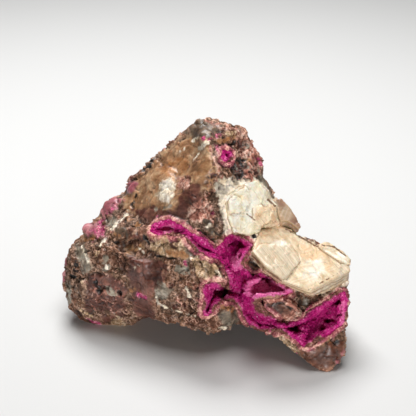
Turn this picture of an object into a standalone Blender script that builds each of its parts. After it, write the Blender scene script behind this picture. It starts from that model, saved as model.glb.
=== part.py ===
"""A hand-sized piece of dolomite rock. Brown dolomite and honey calcite make the matrix, cream calcite
crystals sit on its right shoulder, and pink dolomite crystals line its hollows as a thin crust.

The show face looks along -Y, +Z is up, and the stone rests on three worn patches at Z = 0.
Corners are in millimetres, (across, deep, up), and each lump is the convex hull of its corners.
"""

import math

import bmesh
import bpy
from mathutils import Vector, noise
from mathutils.bvhtree import BVHTree

MM = 0.001

# Sizes that the whole piece is worked out from, in millimetres. A crust keeps the first gap to the
# stone behind it, and a calcite crystal keeps the second one round its root.
CRUST = 1.0
SEAT_GAP = 0.65
ROOT_GAP = 0.7
STONE_VOXEL = 0.9
HOLLOW_VOXEL = 0.7
STONE_TRIANGLES = 5000
MAIN_TRIANGLES = 1000
CROWN_TRIANGLES = 220
GROUND_DEPTH = 20.0
GROUND_SIDE = 200.0

# Relief of a broken surface, as (distance between bumps, height), in millimetres.
BROKEN_STONE = ((13.0, 1.1), (5.5, 0.8), (2.6, 0.35))
CRYSTAL_LINING = ((6.0, 0.6), (2.4, 0.35))

# The colour and the roughness of each node.
FINISHES = {
    "matrix": ((0.235, 0.121, 0.085), 0.75),
    "pink_druse": ((0.40, 0.018, 0.20), 0.55),
    "crown_druse": ((0.40, 0.018, 0.20), 0.55),
    "calcite_block": ((0.76, 0.64, 0.47), 0.45),
    "calcite_shoulder": ((0.76, 0.64, 0.47), 0.45),
    "calcite_fin": ((0.50, 0.33, 0.23), 0.45),
}

# The matrix: lumps that overlap, from the crown down to the foot.
MATRIX_LUMPS = {
    "crown": [
        (-3, 9, 65), (2, 7, 64.5), (6.5, 6, 64), (10.5, 7, 62), (13.5, 7, 58), (15.5, 5, 55.5),
        (17, 4, 51.5), (17, 3, 47.5), (14, -4, 46), (7, -10, 48.5), (0.5, -9, 55), (-1, -4, 62.5),
        (-5.5, 9, 62), (2, 25, 55), (12, 25, 48), (17, 18, 38), (-6, 26, 46), (0, 10, 30),
    ],
    "shoulder": [
        (17, 3, 48), (19.5, 1, 42), (24, -1, 37.5), (27.5, -4, 31.5), (13, -7, 46), (7, -16, 38.5),
        (-1, -17, 36), (-0.5, -10, 50.5), (22, 14, 28), (6, 24, 34), (26, 8, 12), (2, 20, 8),
    ],
    "honey_wall": [
        (-3, 9, 63.5), (-6.5, 10, 61), (-9.5, 10, 58), (-13.5, 11, 54.5), (-18, 12, 50),
        (-19, 12, 47), (-23.5, 12, 44), (-25.5, 11, 39.5), (-26, 7, 38), (-25.5, -4, 34.5),
        (-17.5, -12, 35), (-10.5, -15, 36), (-2.5, -17, 39), (2, -12, 48), (2.5, -9, 58.5),
        (-6, 26, 44), (-22, 26, 30), (-30, 24, 22), (-8, 8, 20),
    ],
    "left_slope": [
        (-25.5, 10, 40), (-29, 10, 36.5), (-33, 8, 33), (-36, 5, 28.5), (-41, 3, 26),
        (-29.5, -6, 30.5), (-24, -7, 36), (-17.5, -13, 34), (-36, 20, 18), (-28, 24, 22),
        (-18, 10, 8),
    ],
    "left_lobe": [
        (-41, 3, 26), (-44.5, 3, 23.5), (-46, 2, 20), (-46.5, 2, 14), (-46, 0, 9), (-44.5, -1, 4),
        (-41, -3, 1), (-35.5, -4, -1), (-30.5, -4, -1.5), (-24.5, -6, -0.5), (-39.5, -6, 23),
        (-38.5, -9, 11.5), (-29.5, -11, 31), (-29, -11, 9), (-18, -18, 29.5), (-18, -18, 16.5),
        (-21, -13, 6.5), (-43, 16, 14), (-38, 24, 12), (-38, 20, 24), (-26, 26, 6), (-36, 4, -1),
        (-24, -3, -1), (-32, 20, 0), (-20, 16, 0), (-14, 4, 2),
    ],
    "belly": [
        (-25, -7, 35), (-17, -14, 34.5), (-2.5, -18, 37.5), (1.5, -22, 34), (0, -26, 27),
        (-1, -26, 21), (-3.5, -23, 12.5), (-13, -19, 8.5), (-19, -14, 7), (-17.5, -20, 21),
        (-8, -25, 24), (-20, 24, 6), (8, 22, 6), (10, 4, 10), (-16, 4, 4), (8, 20, 30),
    ],
    "toe": [
        (-9.5, -19, 9), (-5.5, -19, 5), (2, -20, 5), (6.5, -21, 7), (8.5, -23, 13), (7, -23, 18),
        (2.5, -25, 20), (-2.5, -25, 15.5), (-8.5, -22, 13), (-2, -2, 8), (6, -4, 8),
    ],
    "brow": [
        (-6, -22, 33), (-0.5, -23, 34), (3, -25, 33), (5, -27, 31), (6, -28, 27.5), (4, -28, 26),
        (0, -27, 27), (-5, -25, 29), (0, -10, 22),
    ],
    "arm": [
        (2, -16, 35), (13, -17, 35), (16.5, -9, 35), (27.5, -4, 31.5), (38, -6, 27.5),
        (43, -10, 24), (42, -18, 19), (41, -8, 10), (41, -2, 18), (34, 7, 22), (26, 12, 12), (10, 10, 6),
        (12, -6, 9), (9.5, -22, 18.5), (8.5, -19, 8), (16.5, -20, 6), (24.5, -22, 6.5), (27, -24, 20),
    ],
    "ledge": [
        (13, -28, 22.5), (20.5, -28, 23), (25.5, -28, 20.5), (27.5, -28, 18), (27, -28, 15),
        (21, -28, 15.5), (15, -28, 17), (13, -28, 19), (14, -10, 12), (26, -10, 12), (20, -8, 18),
    ],
    "right_wall": [
        (42, -16, 20), (42, -21, 18), (41.5, -24, 13.5), (41, -26, 9.5), (38, -28, 7), (27, -28, 8),
        (30, -26, 17.5), (38, -20, 20.5), (41, -8, 12), (32, 0, 8), (18, -8, 9),
    ],
    "foot": [
        (17.5, -24, 9.5), (22.5, -27, 7.5), (27, -30, 4.5), (31.5, -32, 1.5), (35.5, -32, -1),
        (38, -31, 3.5), (40.5, -29, 5.5), (41.5, -26, 9.5), (32, -31, 11), (27, -30, 11.5),
        (22.5, -28, 13.5), (19, -26, 12), (37, -18, -1), (30, -20, -1), (38, -10, 6), (18, -12, 9),
    ],
    "rear": [
        (-5, 18, 56), (8, 23, 52), (15, 20, 42), (24, 14, 26), (25, 12, 9), (11, 29, 7), (-12, 32, 8),
        (6, 28, 28), (-12, 31, 24), (-24, 27, 18), (-22, 24, -1), (8, 24, -1), (-6, 28, -1),
        (-22, 20, 38), (-10, 24, 46), (2, 12, -1), (-12, 14, -1),
    ],
    "rear_left": [
        (-44, 10, 8), (-42, 18, 10), (-38, 22, 20), (-31, 20, 32), (-24, 24, 36), (-20, 26, 22),
        (-33, 26, 8), (-22, 29, 6), (-33, 20, -1), (-20, 22, -1), (-40, 8, 25), (-30, 12, 36),
        (-36, 4, 6), (-18, 6, 6),
    ],
    "arch": [
        (-18, -6, 5), (10, -9, 6), (16, 6, 4), (9, 22, 3), (-18, 18, 3), (-20, 4, 3), (0, -14, 8),
        (0, 0, 24), (22, 2, 12), (12, -12, 10),
    ],
    "core": [
        (-34, 4, 6), (-34, 18, 8), (-26, 4, 28), (-26, 20, 28), (-6, 6, 44), (0, 20, 46),
        (12, 10, 44), (16, 14, 36), (24, 6, 22), (20, 12, 6), (0, 20, 4), (24, -2, 14), (0, -8, 14),
        (-14, -6, 10),
    ],
    "upper_nodule": [
        (-34, 9, 32.5), (-33.5, 9, 35), (-31, 9, 37.5), (-28, 9, 38), (-27.5, 4, 36), (-32, 4, 33.5),
    ],
    "lower_nodule": [
        (-40, 6, 28), (-39, 7, 30.5), (-35.5, 7, 30.5), (-34, 4, 29.5), (-35, 0, 29), (-38.5, 1, 28.5),
    ],
    "tip_nodule": [(-26, 11, 40.5), (-26, 12, 42.5), (-24, 12, 44), (-22, 6, 42)],
}

# The view that the show face is shaped for: how far down it looks, how far away it is, and how high
# the middle of the view lies.
VIEW_ANGLE = math.radians(25.0)
VIEW_DISTANCE = 350.0
VIEW_HEIGHT = 38.6

# The hollows, each with its depth, the share of its rim that its floor has, and its rim. The rim is
# drawn as it looks in that view, in millimetres across and up from the middle of the view.
MAIN_HOLLOW = {
    "upper_pocket": (9, 0.6, [(5.2, -9.2), (7.4, -8.3), (9.8, -8.9), (12.9, -11.4), (10.7, -14.1),
                              (8.9, -17.8), (7.1, -20.6), (5.2, -18.1), (3.4, -14.7), (4, -11.7)]),
    "middle": (5.5, 0.6, [(7.1, -19), (9.5, -17.5), (12, -20), (13.2, -23.9), (12.6, -27.9),
                          (9.8, -29.2), (8.3, -26.4), (7.4, -23)]),
    "left_pocket": (7.5, 0.65, [(-0.9, -23.3), (1.8, -23.6), (4.9, -24.6), (10.4, -24.3), (9.8, -27.6),
                                (2.8, -27.6), (0.3, -27), (-0.6, -25.2)]),
    "toe_gap": (8, 0.6, [(0.3, -26.7), (2.5, -27.3), (1.5, -30.1), (0.6, -31.9), (-0.9, -32.9),
                         (-1.5, -31.6)]),
    "lower": (5, 0.7, [(9.8, -28.2), (12, -27), (12.9, -31), (15, -34.1), (19.6, -35.9), (23.3, -36.8),
                       (21.8, -37.8), (17.2, -37.1), (13.5, -35.3), (10.7, -33.2)]),
    "shelf": (6, 0.8, [(12, -23.3), (15.4, -21.8), (18.4, -22.4), (22.1, -23), (25.2, -24.6),
                       (24.9, -26.1), (21.5, -26.1), (16.6, -26.4), (12.9, -27.3)]),
    "under_block": (9, 0.8, [(16, -20.3), (19, -21.2), (22.1, -23.6), (20.6, -24.9), (16.9, -23.6)]),
    "below_ledge": (9, 0.7, [(22.7, -36.5), (27.6, -35.3), (29.2, -38.7), (26.4, -39.3), (23.9, -37.8)]),
    "right_cavity": (7, 0.75, [(28.2, -35.3), (31, -33.2), (36.2, -29.5), (41.1, -25.8), (41.8, -28.2),
                               (41.1, -32.9), (40.2, -36.2), (34.4, -38.7), (29.5, -42.4),
                               (27.3, -39.3)]),
    "right_corner": (9.5, 0.7, [(36.8, -29.5), (41.1, -26.1), (41.4, -29.5), (38.4, -31)]),
    "vein": (2, 0.4, [(-7.4, -7.1), (-4.3, -9.2), (-0.6, -11.4), (1.8, -13.8), (4, -15), (1.2, -14.7),
                      (-2.1, -13.5), (-4.9, -10.7), (-7.4, -8.3)]),
    "side_pocket": (4, 0.45, [(-17.8, -6.1), (-15.4, -4.9), (-12.9, -4), (-10.1, -5.5), (-6.8, -6.8),
                              (-7.4, -7.7), (-10.4, -7.1), (-13.8, -7.4), (-16.6, -8.6)]),
}
CROWN_HOLLOW = {
    "crown_pocket": (3.5, 0.5, [(4, 16.9), (5.5, 17.5), (7.1, 16.9), (6.8, 15.4), (5.5, 14.4),
                                (4.6, 15)]),
}
MOUTH_REACH = 14.0

# Calcite crystals. Each has one cleavage face, given by a point on it and the way it looks, with its
# outline seen from above, and corners of its root in the stone. Steps are plates that stand this
# high off the face, each with an outline of its own.
CALCITE = {
    "calcite_block": {
        "face": ((16.3, -9, 35.5), (0.343, -0.258, 0.903)),
        "outline": [(12.6, -20.4), (14.6, -14.1), (16.3, -8.6), (22.9, -4.4), (33.5, -8), (42.4, -11),
                    (42.4, -14.3), (39.9, -15.5), (29.3, -28), (26.9, -27.9), (21.1, -27.8),
                    (16.8, -25.4)],
        "root": [(15.5, -16.5, 30), (19, -21, 27), (24, -24.5, 24.5), (30.3, -27, 22.9),
                 (41.5, -14, 20.1), (41.8, -9, 21), (34, -5, 25), (24, -2, 30), (17, -6, 31.5)],
        "steps": [
            (0.7, [(13.1, -20.4), (16, -15.9), (24.6, -11.8), (27, -17.4), (22.3, -26.6),
                   (21.2, -27.4), (17, -25)]),
            (0.9, [(33.4, -8.5), (36.4, -5.7), (40.3, -7.3), (42.6, -9.7), (42.3, -11.9),
                   (39.3, -11.6), (35.8, -9.9)]),
        ],
    },
    "calcite_shoulder": {
        "face": ((5.9, -11, 44.7), (0.478, -0.71, 0.516)),
        "outline": [(5.3, -10.4), (7.1, -8.1), (10.8, -5), (14.5, -2.5), (18.2, -2.5), (20.5, -3.6),
                    (22.1, -6.7), (16.2, -10.1), (11.3, -13.5), (7.7, -14.9), (6.2, -13.2)],
        "root": [(4, -6.5, 43), (9, -1, 45), (15, 1.5, 44.5), (18.5, -0.5, 37.5), (13.5, -6.5, 33.5),
                 (8, -10, 34.5)],
        "steps": [
            (0.8, [(5.6, -10.6), (7.1, -8.4), (11.4, -5.1), (12.6, -6.6), (10.7, -9.8), (6.2, -12.4)]),
            (0.6, [(13.2, -7.7), (17.8, -5.4), (21.4, -6.5), (16.2, -9.8), (13.1, -10.4)]),
        ],
    },
    "calcite_fin": {
        "face": ((22.4, -1.6, 41.3), (0.351, -0.707, 0.612)),
        "outline": [(20.3, -2), (22.2, -0.9), (24.6, -1.9), (26.9, -3.2), (28, -4.8), (27.5, -6),
                    (24.8, -6.2), (22.3, -5.6), (20.8, -4)],
        "root": [(19.5, 1, 38.5), (23, 1.5, 37), (26.5, -0.5, 32), (22, -2.5, 33)],
        "steps": [],
    },
}
SOCKET_LIFT = 3.0
STEP_ROOT = 1.0


def clear_scene():
    for item in list(bpy.data.objects):
        bpy.data.objects.remove(item)


def metres(corner):
    return Vector(corner) * MM


def add_hull(bm, corners):
    """Adds the convex hull of these corners to a bmesh."""
    made = [bm.verts.new(metres(corner)) for corner in corners]
    hull = bmesh.ops.convex_hull(bm, input=made)
    spare = {part for part in hull["geom_interior"] + hull["geom_unused"] if part in made}
    bmesh.ops.delete(bm, geom=list(spare), context="VERTS")


def new_object(name, bm):
    bmesh.ops.recalc_face_normals(bm, faces=bm.faces)
    mesh = bpy.data.meshes.new(name)
    bm.to_mesh(mesh)
    bm.free()
    made = bpy.data.objects.new(name, mesh)
    bpy.context.scene.collection.objects.link(made)
    return made


def hulls(name, groups):
    """One object that holds the hull of each group of corners."""
    bm = bmesh.new()
    for corners in groups:
        add_hull(bm, corners)
    return new_object(name, bm)


def settle(item):
    """Turns what an object's modifiers show into its own mesh."""
    graph = bpy.context.evaluated_depsgraph_get()
    shown = bpy.data.meshes.new_from_object(item.evaluated_get(graph))
    item.modifiers.clear()
    item.data = shown
    return item


def copy_of(item, name):
    made = bpy.data.objects.new(name, item.data.copy())
    bpy.context.scene.collection.objects.link(made)
    return made


def join_by_voxels(item, voxel):
    """Makes one closed skin around everything in the object."""
    remesh = item.modifiers.new("one_skin", "REMESH")
    remesh.mode = "VOXEL"
    remesh.voxel_size = voxel * MM
    return settle(item)


def swell(item, distance):
    """Moves every corner outwards by this distance."""
    displace = item.modifiers.new("swell", "DISPLACE")
    displace.mid_level = 0.0
    displace.strength = distance * MM
    return settle(item)


def grow(item, distance):
    """Moves the surface outwards, and makes it one clean skin again."""
    return join_by_voxels(swell(item, distance), HOLLOW_VOXEL)


def thin_out(item, triangles):
    """Leaves about this many triangles, the most where the surface bends."""
    item.data.calc_loop_triangles()
    now = len(item.data.loop_triangles)
    if now > triangles:
        decimate = item.modifiers.new("fewer", "DECIMATE")
        decimate.ratio = triangles / now
    return settle(item)


def combine(item, other, operation):
    boolean = item.modifiers.new(operation.lower(), "BOOLEAN")
    boolean.operation = operation
    boolean.solver = "EXACT"
    boolean.object = other
    return settle(item)


def roughen(item, relief, voxel):
    """Raises and sinks the surface by noise, as broken stone or a crystal lining does."""
    mesh = item.data
    normals = [corner.vector.copy() for corner in mesh.vertex_normals]
    for vertex, normal in zip(mesh.vertices, normals):
        lift = 0.0
        for spacing, height in relief:
            place = vertex.co / (spacing * MM)
            lift += height * noise.noise(place + Vector((spacing, 0.0, 0.0)))
        vertex.co += normal * (lift * MM)
    return join_by_voxels(item, voxel)


def keep_largest(item):
    """Drops every loose chip but the largest body."""
    bm = bmesh.new()
    bm.from_mesh(item.data)
    left = set(bm.verts)
    bodies = []
    while left:
        body = {left.pop()}
        edge_of_body = set(body)
        while edge_of_body:
            reached = {
                link.other_vert(vertex) for vertex in edge_of_body for link in vertex.link_edges
            }
            edge_of_body = reached - body
            body |= edge_of_body
        left -= body
        bodies.append(body)
    bodies.sort(key=len)
    for chip in bodies[:-1]:
        bmesh.ops.delete(bm, geom=list(chip), context="VERTS")
    bm.to_mesh(item.data)
    bm.free()
    return item


def eye():
    """Where the show face is looked at from, in millimetres."""
    back = VIEW_DISTANCE * math.cos(VIEW_ANGLE)
    return Vector((0.0, -back, VIEW_HEIGHT + VIEW_DISTANCE * math.sin(VIEW_ANGLE)))


def sight(across, up):
    """The way from the eye to a place in the view."""
    forward = VIEW_DISTANCE * math.cos(VIEW_ANGLE) + up * math.sin(VIEW_ANGLE)
    rise = up * math.cos(VIEW_ANGLE) - VIEW_DISTANCE * math.sin(VIEW_ANGLE)
    return Vector((across, forward, rise)).normalized()


def skin_of(item):
    """The surface of an object, in millimetres, that lines of sight are tried against."""
    corners = [vertex.co / MM for vertex in item.data.vertices]
    return BVHTree.FromPolygons(corners, [face.vertices[:] for face in item.data.polygons])


def hollow_corners(surface, depth, share, outline):
    """Corners of one hollow's free space: its floor, its rim and its mouth."""
    rim = [surface.ray_cast(eye(), sight(*place))[0] for place in outline]
    middle = sum(rim, Vector()) / len(rim)
    inwards = (middle - eye()).normalized()
    floor = [middle + (corner - middle) * share + inwards * depth for corner in rim]
    mouth = [corner - inwards * MOUTH_REACH for corner in rim]
    return rim + floor + mouth


def hollow_shape(name, surface, hollow):
    """The free space of a hollow: from its floor, past its rim, out through its mouth."""
    groups = [hollow_corners(surface, *measures) for measures in hollow.values()]
    space = join_by_voxels(hulls(name, groups), HOLLOW_VOXEL)
    return roughen(space, CRYSTAL_LINING, HOLLOW_VOXEL)


def ground():
    """Everything below the surface that the stone rests on, which wears three flat patches on it."""
    half = GROUND_SIDE / 2
    corners = [
        (x, y, z) for x in (-half, half) for y in (-half, half) for z in (-GROUND_DEPTH, 0.0)
    ]
    return hulls("ground", [corners])


def whole_stone():
    """The matrix before anything is cut from it."""
    stone = join_by_voxels(hulls("matrix", MATRIX_LUMPS.values()), STONE_VOXEL)
    return roughen(stone, BROKEN_STONE, STONE_VOXEL)


def face_corner(face, place, height):
    """The corner above or below this place seen from above, at this height off a cleavage face."""
    (px, py, pz), (nx, ny, nz) = face
    x, y = place
    z = pz - (nx * (x - px) + ny * (y - py)) / nz
    return (x + nx * height, y + ny * height, z + nz * height)


def face_layer(face, outline, height):
    return [face_corner(face, place, height) for place in outline]


def crystal(name, face, outline, root, steps):
    """A calcite crystal: its steps joined on by Boolean unions, so that their faces stay flat."""
    made = hulls(name, [face_layer(face, outline, 0.0) + root])
    for height, step in steps:
        plate = hulls("plate", [face_layer(face, step, height) + face_layer(face, step, -STEP_ROOT)])
        combine(made, plate, "UNION")
        bpy.data.objects.remove(plate)
    return made


def clear_socket(item, face, outline, root, steps):
    """Cuts away the room that a crystal takes, with a small gap round it and each of its steps."""
    body = face_layer(face, outline, SOCKET_LIFT) + face_layer(face, outline, 0.0) + root
    plates = [
        face_layer(face, step, SOCKET_LIFT) + face_layer(face, step, -STEP_ROOT) for _, step in steps
    ]
    for corners in (body, *plates):
        room = swell(hulls("room", [corners]), ROOT_GAP)
        combine(item, room, "DIFFERENCE")
        bpy.data.objects.remove(room)


def finish(item):
    colour, roughness = FINISHES[item.name]
    material = bpy.data.materials.new(item.name)
    material.use_nodes = True
    shader = material.node_tree.nodes["Principled BSDF"]
    shader.inputs["Base Color"].default_value = (*colour, 1.0)
    shader.inputs["Roughness"].default_value = roughness
    item.data.materials.clear()
    item.data.materials.append(material)


def stand(items):
    """Puts the middle of the whole piece, seen from above, on the Z axis."""
    places = [vertex.co for item in items for vertex in item.data.vertices]
    middle_x = (min(p.x for p in places) + max(p.x for p in places)) / 2
    middle_y = (min(p.y for p in places) + max(p.y for p in places)) / 2
    for item in items:
        for vertex in item.data.vertices:
            vertex.co.x -= middle_x
            vertex.co.y -= middle_y
    print(f"moved by {-middle_x / MM:.2f}, {-middle_y / MM:.2f} mm")


def build():
    clear_scene()
    stone = thin_out(whole_stone(), STONE_TRIANGLES)
    floor = ground()
    combine(stone, floor, "DIFFERENCE")
    surface = skin_of(stone)
    spaces = {
        "pink_druse": hollow_shape("main_space", surface, MAIN_HOLLOW),
        "crown_druse": hollow_shape("crown_space", surface, CROWN_HOLLOW),
    }
    skins = {name: grow(copy_of(space, "skin"), CRUST) for name, space in spaces.items()}
    seats = {name: grow(copy_of(skin, "seat"), SEAT_GAP) for name, skin in skins.items()}
    for shapes in (spaces, skins, seats):
        thin_out(shapes["pink_druse"], MAIN_TRIANGLES)
        thin_out(shapes["crown_druse"], CROWN_TRIANGLES)
    for space in spaces.values():
        combine(stone, space, "DIFFERENCE")
    crusts = [combine(copy_of(stone, name), skin, "INTERSECT") for name, skin in skins.items()]
    for seat in seats.values():
        combine(stone, seat, "DIFFERENCE")

    crystals = [crystal(name, **shape) for name, shape in CALCITE.items()]
    for place, shape in enumerate(CALCITE.values()):
        for item in (stone, *crusts, *crystals[place + 1:]):
            clear_socket(item, **shape)
    for item in (stone, *crusts):
        keep_largest(item)
    for helper in (floor, *spaces.values(), *skins.values(), *seats.values()):
        bpy.data.objects.remove(helper)

    pieces = [stone, *crusts, *crystals]
    for piece in pieces:
        finish(piece)
    stand(pieces)


build()
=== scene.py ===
# %% [markdown]
# # A piece of dolomite rock
#
# This is a hand-sized mineral specimen. Brown dolomite and honey-coloured calcite make the matrix,
# cream calcite crystals sit on its right shoulder, and tiny pink dolomite crystals line its hollows.
# The solids of the stone are already made. Here each of them gets its fine relief, its colours and its
# crystals, which is where a stone starts to look like a stone.

# %% Load the solids
import math

import bmesh
import bpy
import numpy as np
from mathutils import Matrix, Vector, noise
from mathutils.bvhtree import BVHTree
from mathutils.kdtree import KDTree


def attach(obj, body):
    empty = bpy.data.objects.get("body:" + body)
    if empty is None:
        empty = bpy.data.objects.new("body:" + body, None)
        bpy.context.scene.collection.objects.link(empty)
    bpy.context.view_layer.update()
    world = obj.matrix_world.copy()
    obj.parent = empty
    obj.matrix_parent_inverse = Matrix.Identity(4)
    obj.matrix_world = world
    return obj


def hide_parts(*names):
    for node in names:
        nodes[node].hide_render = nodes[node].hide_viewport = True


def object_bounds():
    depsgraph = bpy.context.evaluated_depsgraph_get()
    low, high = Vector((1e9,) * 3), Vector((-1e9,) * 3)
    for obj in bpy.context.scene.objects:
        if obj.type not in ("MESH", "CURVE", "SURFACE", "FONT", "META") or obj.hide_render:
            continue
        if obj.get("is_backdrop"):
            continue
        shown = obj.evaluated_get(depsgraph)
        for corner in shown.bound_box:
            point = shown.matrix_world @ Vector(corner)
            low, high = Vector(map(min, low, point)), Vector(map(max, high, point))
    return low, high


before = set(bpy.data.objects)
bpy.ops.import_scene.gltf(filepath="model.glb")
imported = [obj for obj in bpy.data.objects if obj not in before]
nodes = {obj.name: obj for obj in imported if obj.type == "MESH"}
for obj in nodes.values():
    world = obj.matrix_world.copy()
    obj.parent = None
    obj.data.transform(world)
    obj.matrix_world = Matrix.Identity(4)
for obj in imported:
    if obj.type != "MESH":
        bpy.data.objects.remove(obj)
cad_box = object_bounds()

MM = 0.001
print("solids:", ", ".join(sorted(nodes)))

# %% [markdown]
# ## The view
#
# The photograph looks about 25 degrees down at the show face. A long lens flattens the depth of a small
# object, so the camera stands back by several times the stone's width. All sizes that follow are in
# millimetres, and are turned to metres where Blender needs them.

# %% Camera
VIEW_DOWN = math.radians(25.0)
VIEW_DISTANCE = 350.0
VIEW_CENTRE = np.array([1.59, 0.07, 38.6])
PICTURE_SIDE = 416
PIXELS_PER_SLOPE = 1140.0
SENSOR_WIDTH = 36.0

forward = np.array([0.0, math.cos(VIEW_DOWN), -math.sin(VIEW_DOWN)])
upward = np.array([0.0, math.sin(VIEW_DOWN), math.cos(VIEW_DOWN)])
eye = VIEW_CENTRE - forward * VIEW_DISTANCE

lens = bpy.data.cameras.new("photo_camera")
lens.sensor_width = SENSOR_WIDTH
lens.lens = PIXELS_PER_SLOPE * SENSOR_WIDTH / PICTURE_SIDE
camera = bpy.data.objects.new("photo_camera", lens)
camera.location = Vector(eye) * MM
camera.rotation_euler = (math.pi / 2 - VIEW_DOWN, 0.0, 0.0)
bpy.context.scene.collection.objects.link(camera)
bpy.context.scene.camera = camera
print(f"lens {lens.lens:.1f} mm, {VIEW_DISTANCE:.0f} mm away")


# %% From a place on the stone to a spot in the picture
def picture_spots(places):
    """Where each place, in millimetres, is seen in the picture, in pixels across and down."""
    away = places - eye
    depth = away @ forward
    across = PICTURE_SIDE / 2 + PIXELS_PER_SLOPE * away[:, 0] / depth
    down = PICTURE_SIDE / 2 - PIXELS_PER_SLOPE * (away @ upward) / depth
    return np.stack([across, down], axis=1)


# %% [markdown]
# ## Light and floor
#
# The specimen stands on white card under a large soft lamp a little behind it, which throws the soft
# shadow forwards. A second lamp overhead lights the tops, and a weak low one in front reaches into the
# hollows without brightening the floor much, because it only grazes the floor.

# %% Floor, lamps and surroundings
def linear(hex_code):
    """An sRGB colour, as a designer writes it, in the linear values that Blender mixes light with."""
    parts = [int(hex_code[i:i + 2], 16) / 255 for i in (1, 3, 5)]
    return [p / 12.92 if p <= 0.04045 else ((p + 0.055) / 1.055) ** 2.4 for p in parts] + [1.0]


def add(tree, kind, links=None, values=None, stops=None, **settings):
    """Adds a node: its settings, the numbers of its inputs, the stops of its ramp, and its links."""
    node = tree.nodes.new(kind)
    for name, value in settings.items():
        setattr(node, name, value)
    for name, value in (values or {}).items():
        node.inputs[name].default_value = value
    if stops:
        while len(node.color_ramp.elements) < len(stops):
            node.color_ramp.elements.new(0.5)
        for element, (position, colour) in zip(node.color_ramp.elements, stops):
            element.position = position
            element.color = colour
    for name, source in (links or {}).items():
        tree.links.new(source, node.inputs[name])
    return node


def new_material(name):
    """An empty node material, and its tree."""
    made = bpy.data.materials.new(name)
    made.use_nodes = True
    made.node_tree.nodes.clear()
    return made, made.node_tree


FLOOR_SIDE = 4000.0
CARD_FIBRE = 0.4
KEY_LAMP = {"place": (-60, 260, 480), "aim": (0, -40, 20), "side": 260, "power": 2.8}
TOP_LAMP = {"place": (60, -40, 560), "aim": (0, 0, 30), "side": 300, "power": 1.6}
LOW_LAMP = {"place": (50, -560, 45), "aim": (0, 0, 30), "side": 160, "power": 1.8}
AMBIENT = 0.07


def floor_material():
    """Plain card, pressed from paper pulp: matt, and a touch mottled by its fibres."""
    made, tree = new_material("white_card")
    where = add(tree, "ShaderNodeTexCoord")
    fibres = add(tree, "ShaderNodeTexNoise", {"Vector": where.outputs["Object"]},
                 {"Scale": 1 / (CARD_FIBRE * MM), "Detail": 4.0})
    tone = add(tree, "ShaderNodeValToRGB", {"Fac": fibres.outputs["Fac"]},
               stops=[(0.3, linear("#d6d6d5")), (0.7, linear("#d9d9d8"))])
    shader = add(tree, "ShaderNodeBsdfPrincipled", {"Base Color": tone.outputs["Color"]},
                 {"Roughness": 0.85})
    add(tree, "ShaderNodeOutputMaterial", {"Surface": shader.outputs["BSDF"]})
    return made


def add_floor():
    half = FLOOR_SIDE / 2 * MM
    mesh = bpy.data.meshes.new("floor")
    mesh.from_pydata([(-half, -half, 0), (half, -half, 0), (half, half, 0), (-half, half, 0)], [],
                     [(0, 1, 2, 3)])
    mesh.materials.append(floor_material())
    made = bpy.data.objects.new("floor", mesh)
    bpy.context.scene.collection.objects.link(made)
    made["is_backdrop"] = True


def add_lamp(name, place, aim, side, power):
    light = bpy.data.lights.new(name, "AREA")
    light.shape = "DISK"
    light.size = side * MM
    light.energy = power
    made = bpy.data.objects.new(name, light)
    made.location = Vector(place) * MM
    made.rotation_euler = (Vector(aim) - Vector(place)).to_track_quat("-Z", "Y").to_euler()
    bpy.context.scene.collection.objects.link(made)


add_floor()
add_lamp("key_lamp", **KEY_LAMP)
add_lamp("top_lamp", **TOP_LAMP)
add_lamp("low_lamp", **LOW_LAMP)
surroundings = bpy.data.worlds.new("studio")
surroundings.use_nodes = True
surroundings.node_tree.nodes["Background"].inputs["Color"].default_value = linear("#f4f3f1")
surroundings.node_tree.nodes["Background"].inputs["Strength"].default_value = AMBIENT
bpy.context.scene.world = surroundings
bpy.context.scene.view_settings.view_transform = "Standard"
print("floor, 3 lamps and surroundings")


# %% [markdown]
# ## Tools for working on a skin
#
# A solid has few, large triangles. Fine relief needs an even skin of small ones. Subdividing would keep
# the long thin triangles long and thin, so a voxel remesh is used, which makes even faces from any
# closed shape. Smoothing then takes the solid's hard edges away.

# %% Making a skin
MERGE_GAP = 0.001


def copy_of(node, name):
    """A copy of a solid, with its loose triangles joined at their shared corners."""
    bm = bmesh.new()
    bm.from_mesh(nodes[node].data)
    bmesh.ops.remove_doubles(bm, verts=bm.verts, dist=MERGE_GAP * MM)
    mesh = bpy.data.meshes.new(name)
    bm.to_mesh(mesh)
    bm.free()
    made = bpy.data.objects.new(name, mesh)
    bpy.context.scene.collection.objects.link(made)
    return made


def settle(item):
    """Turns what the modifiers show into the object's own mesh."""
    graph = bpy.context.evaluated_depsgraph_get()
    shown = bpy.data.meshes.new_from_object(item.evaluated_get(graph))
    item.modifiers.clear()
    old, item.data = item.data, shown
    bpy.data.meshes.remove(old)
    return item


def even_skin(item, voxel):
    remesh = item.modifiers.new("skin", "REMESH")
    remesh.mode = "VOXEL"
    remesh.voxel_size = voxel * MM
    return settle(item)


def thin_out(item, triangles):
    """Leaves at most this many triangles, and keeps the most of them where the skin bends."""
    item.data.calc_loop_triangles()
    now = len(item.data.loop_triangles)
    if now > triangles:
        fewer = item.modifiers.new("fewer", "DECIMATE")
        fewer.ratio = triangles / now
        settle(item)
    return item


def relax(item, times):
    """Evens out the skin, which takes away the edges of the solid's large triangles."""
    smooth = item.modifiers.new("relax", "SMOOTH")
    smooth.factor = 0.5
    smooth.iterations = times
    return settle(item)


def triangles_only(item):
    split = item.modifiers.new("triangles", "TRIANGULATE")
    split.quad_method = "BEAUTY"
    return settle(item)


for node in sorted(nodes):
    print(f"{node}: {len(nodes[node].data.polygons)} triangles")


# %% Reading and moving a skin's vertices
def places_of(item):
    """The vertices of an object as rows of millimetres."""
    flat = np.empty(len(item.data.vertices) * 3)
    item.data.vertices.foreach_get("co", flat)
    return flat.reshape(-1, 3) / MM


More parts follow.
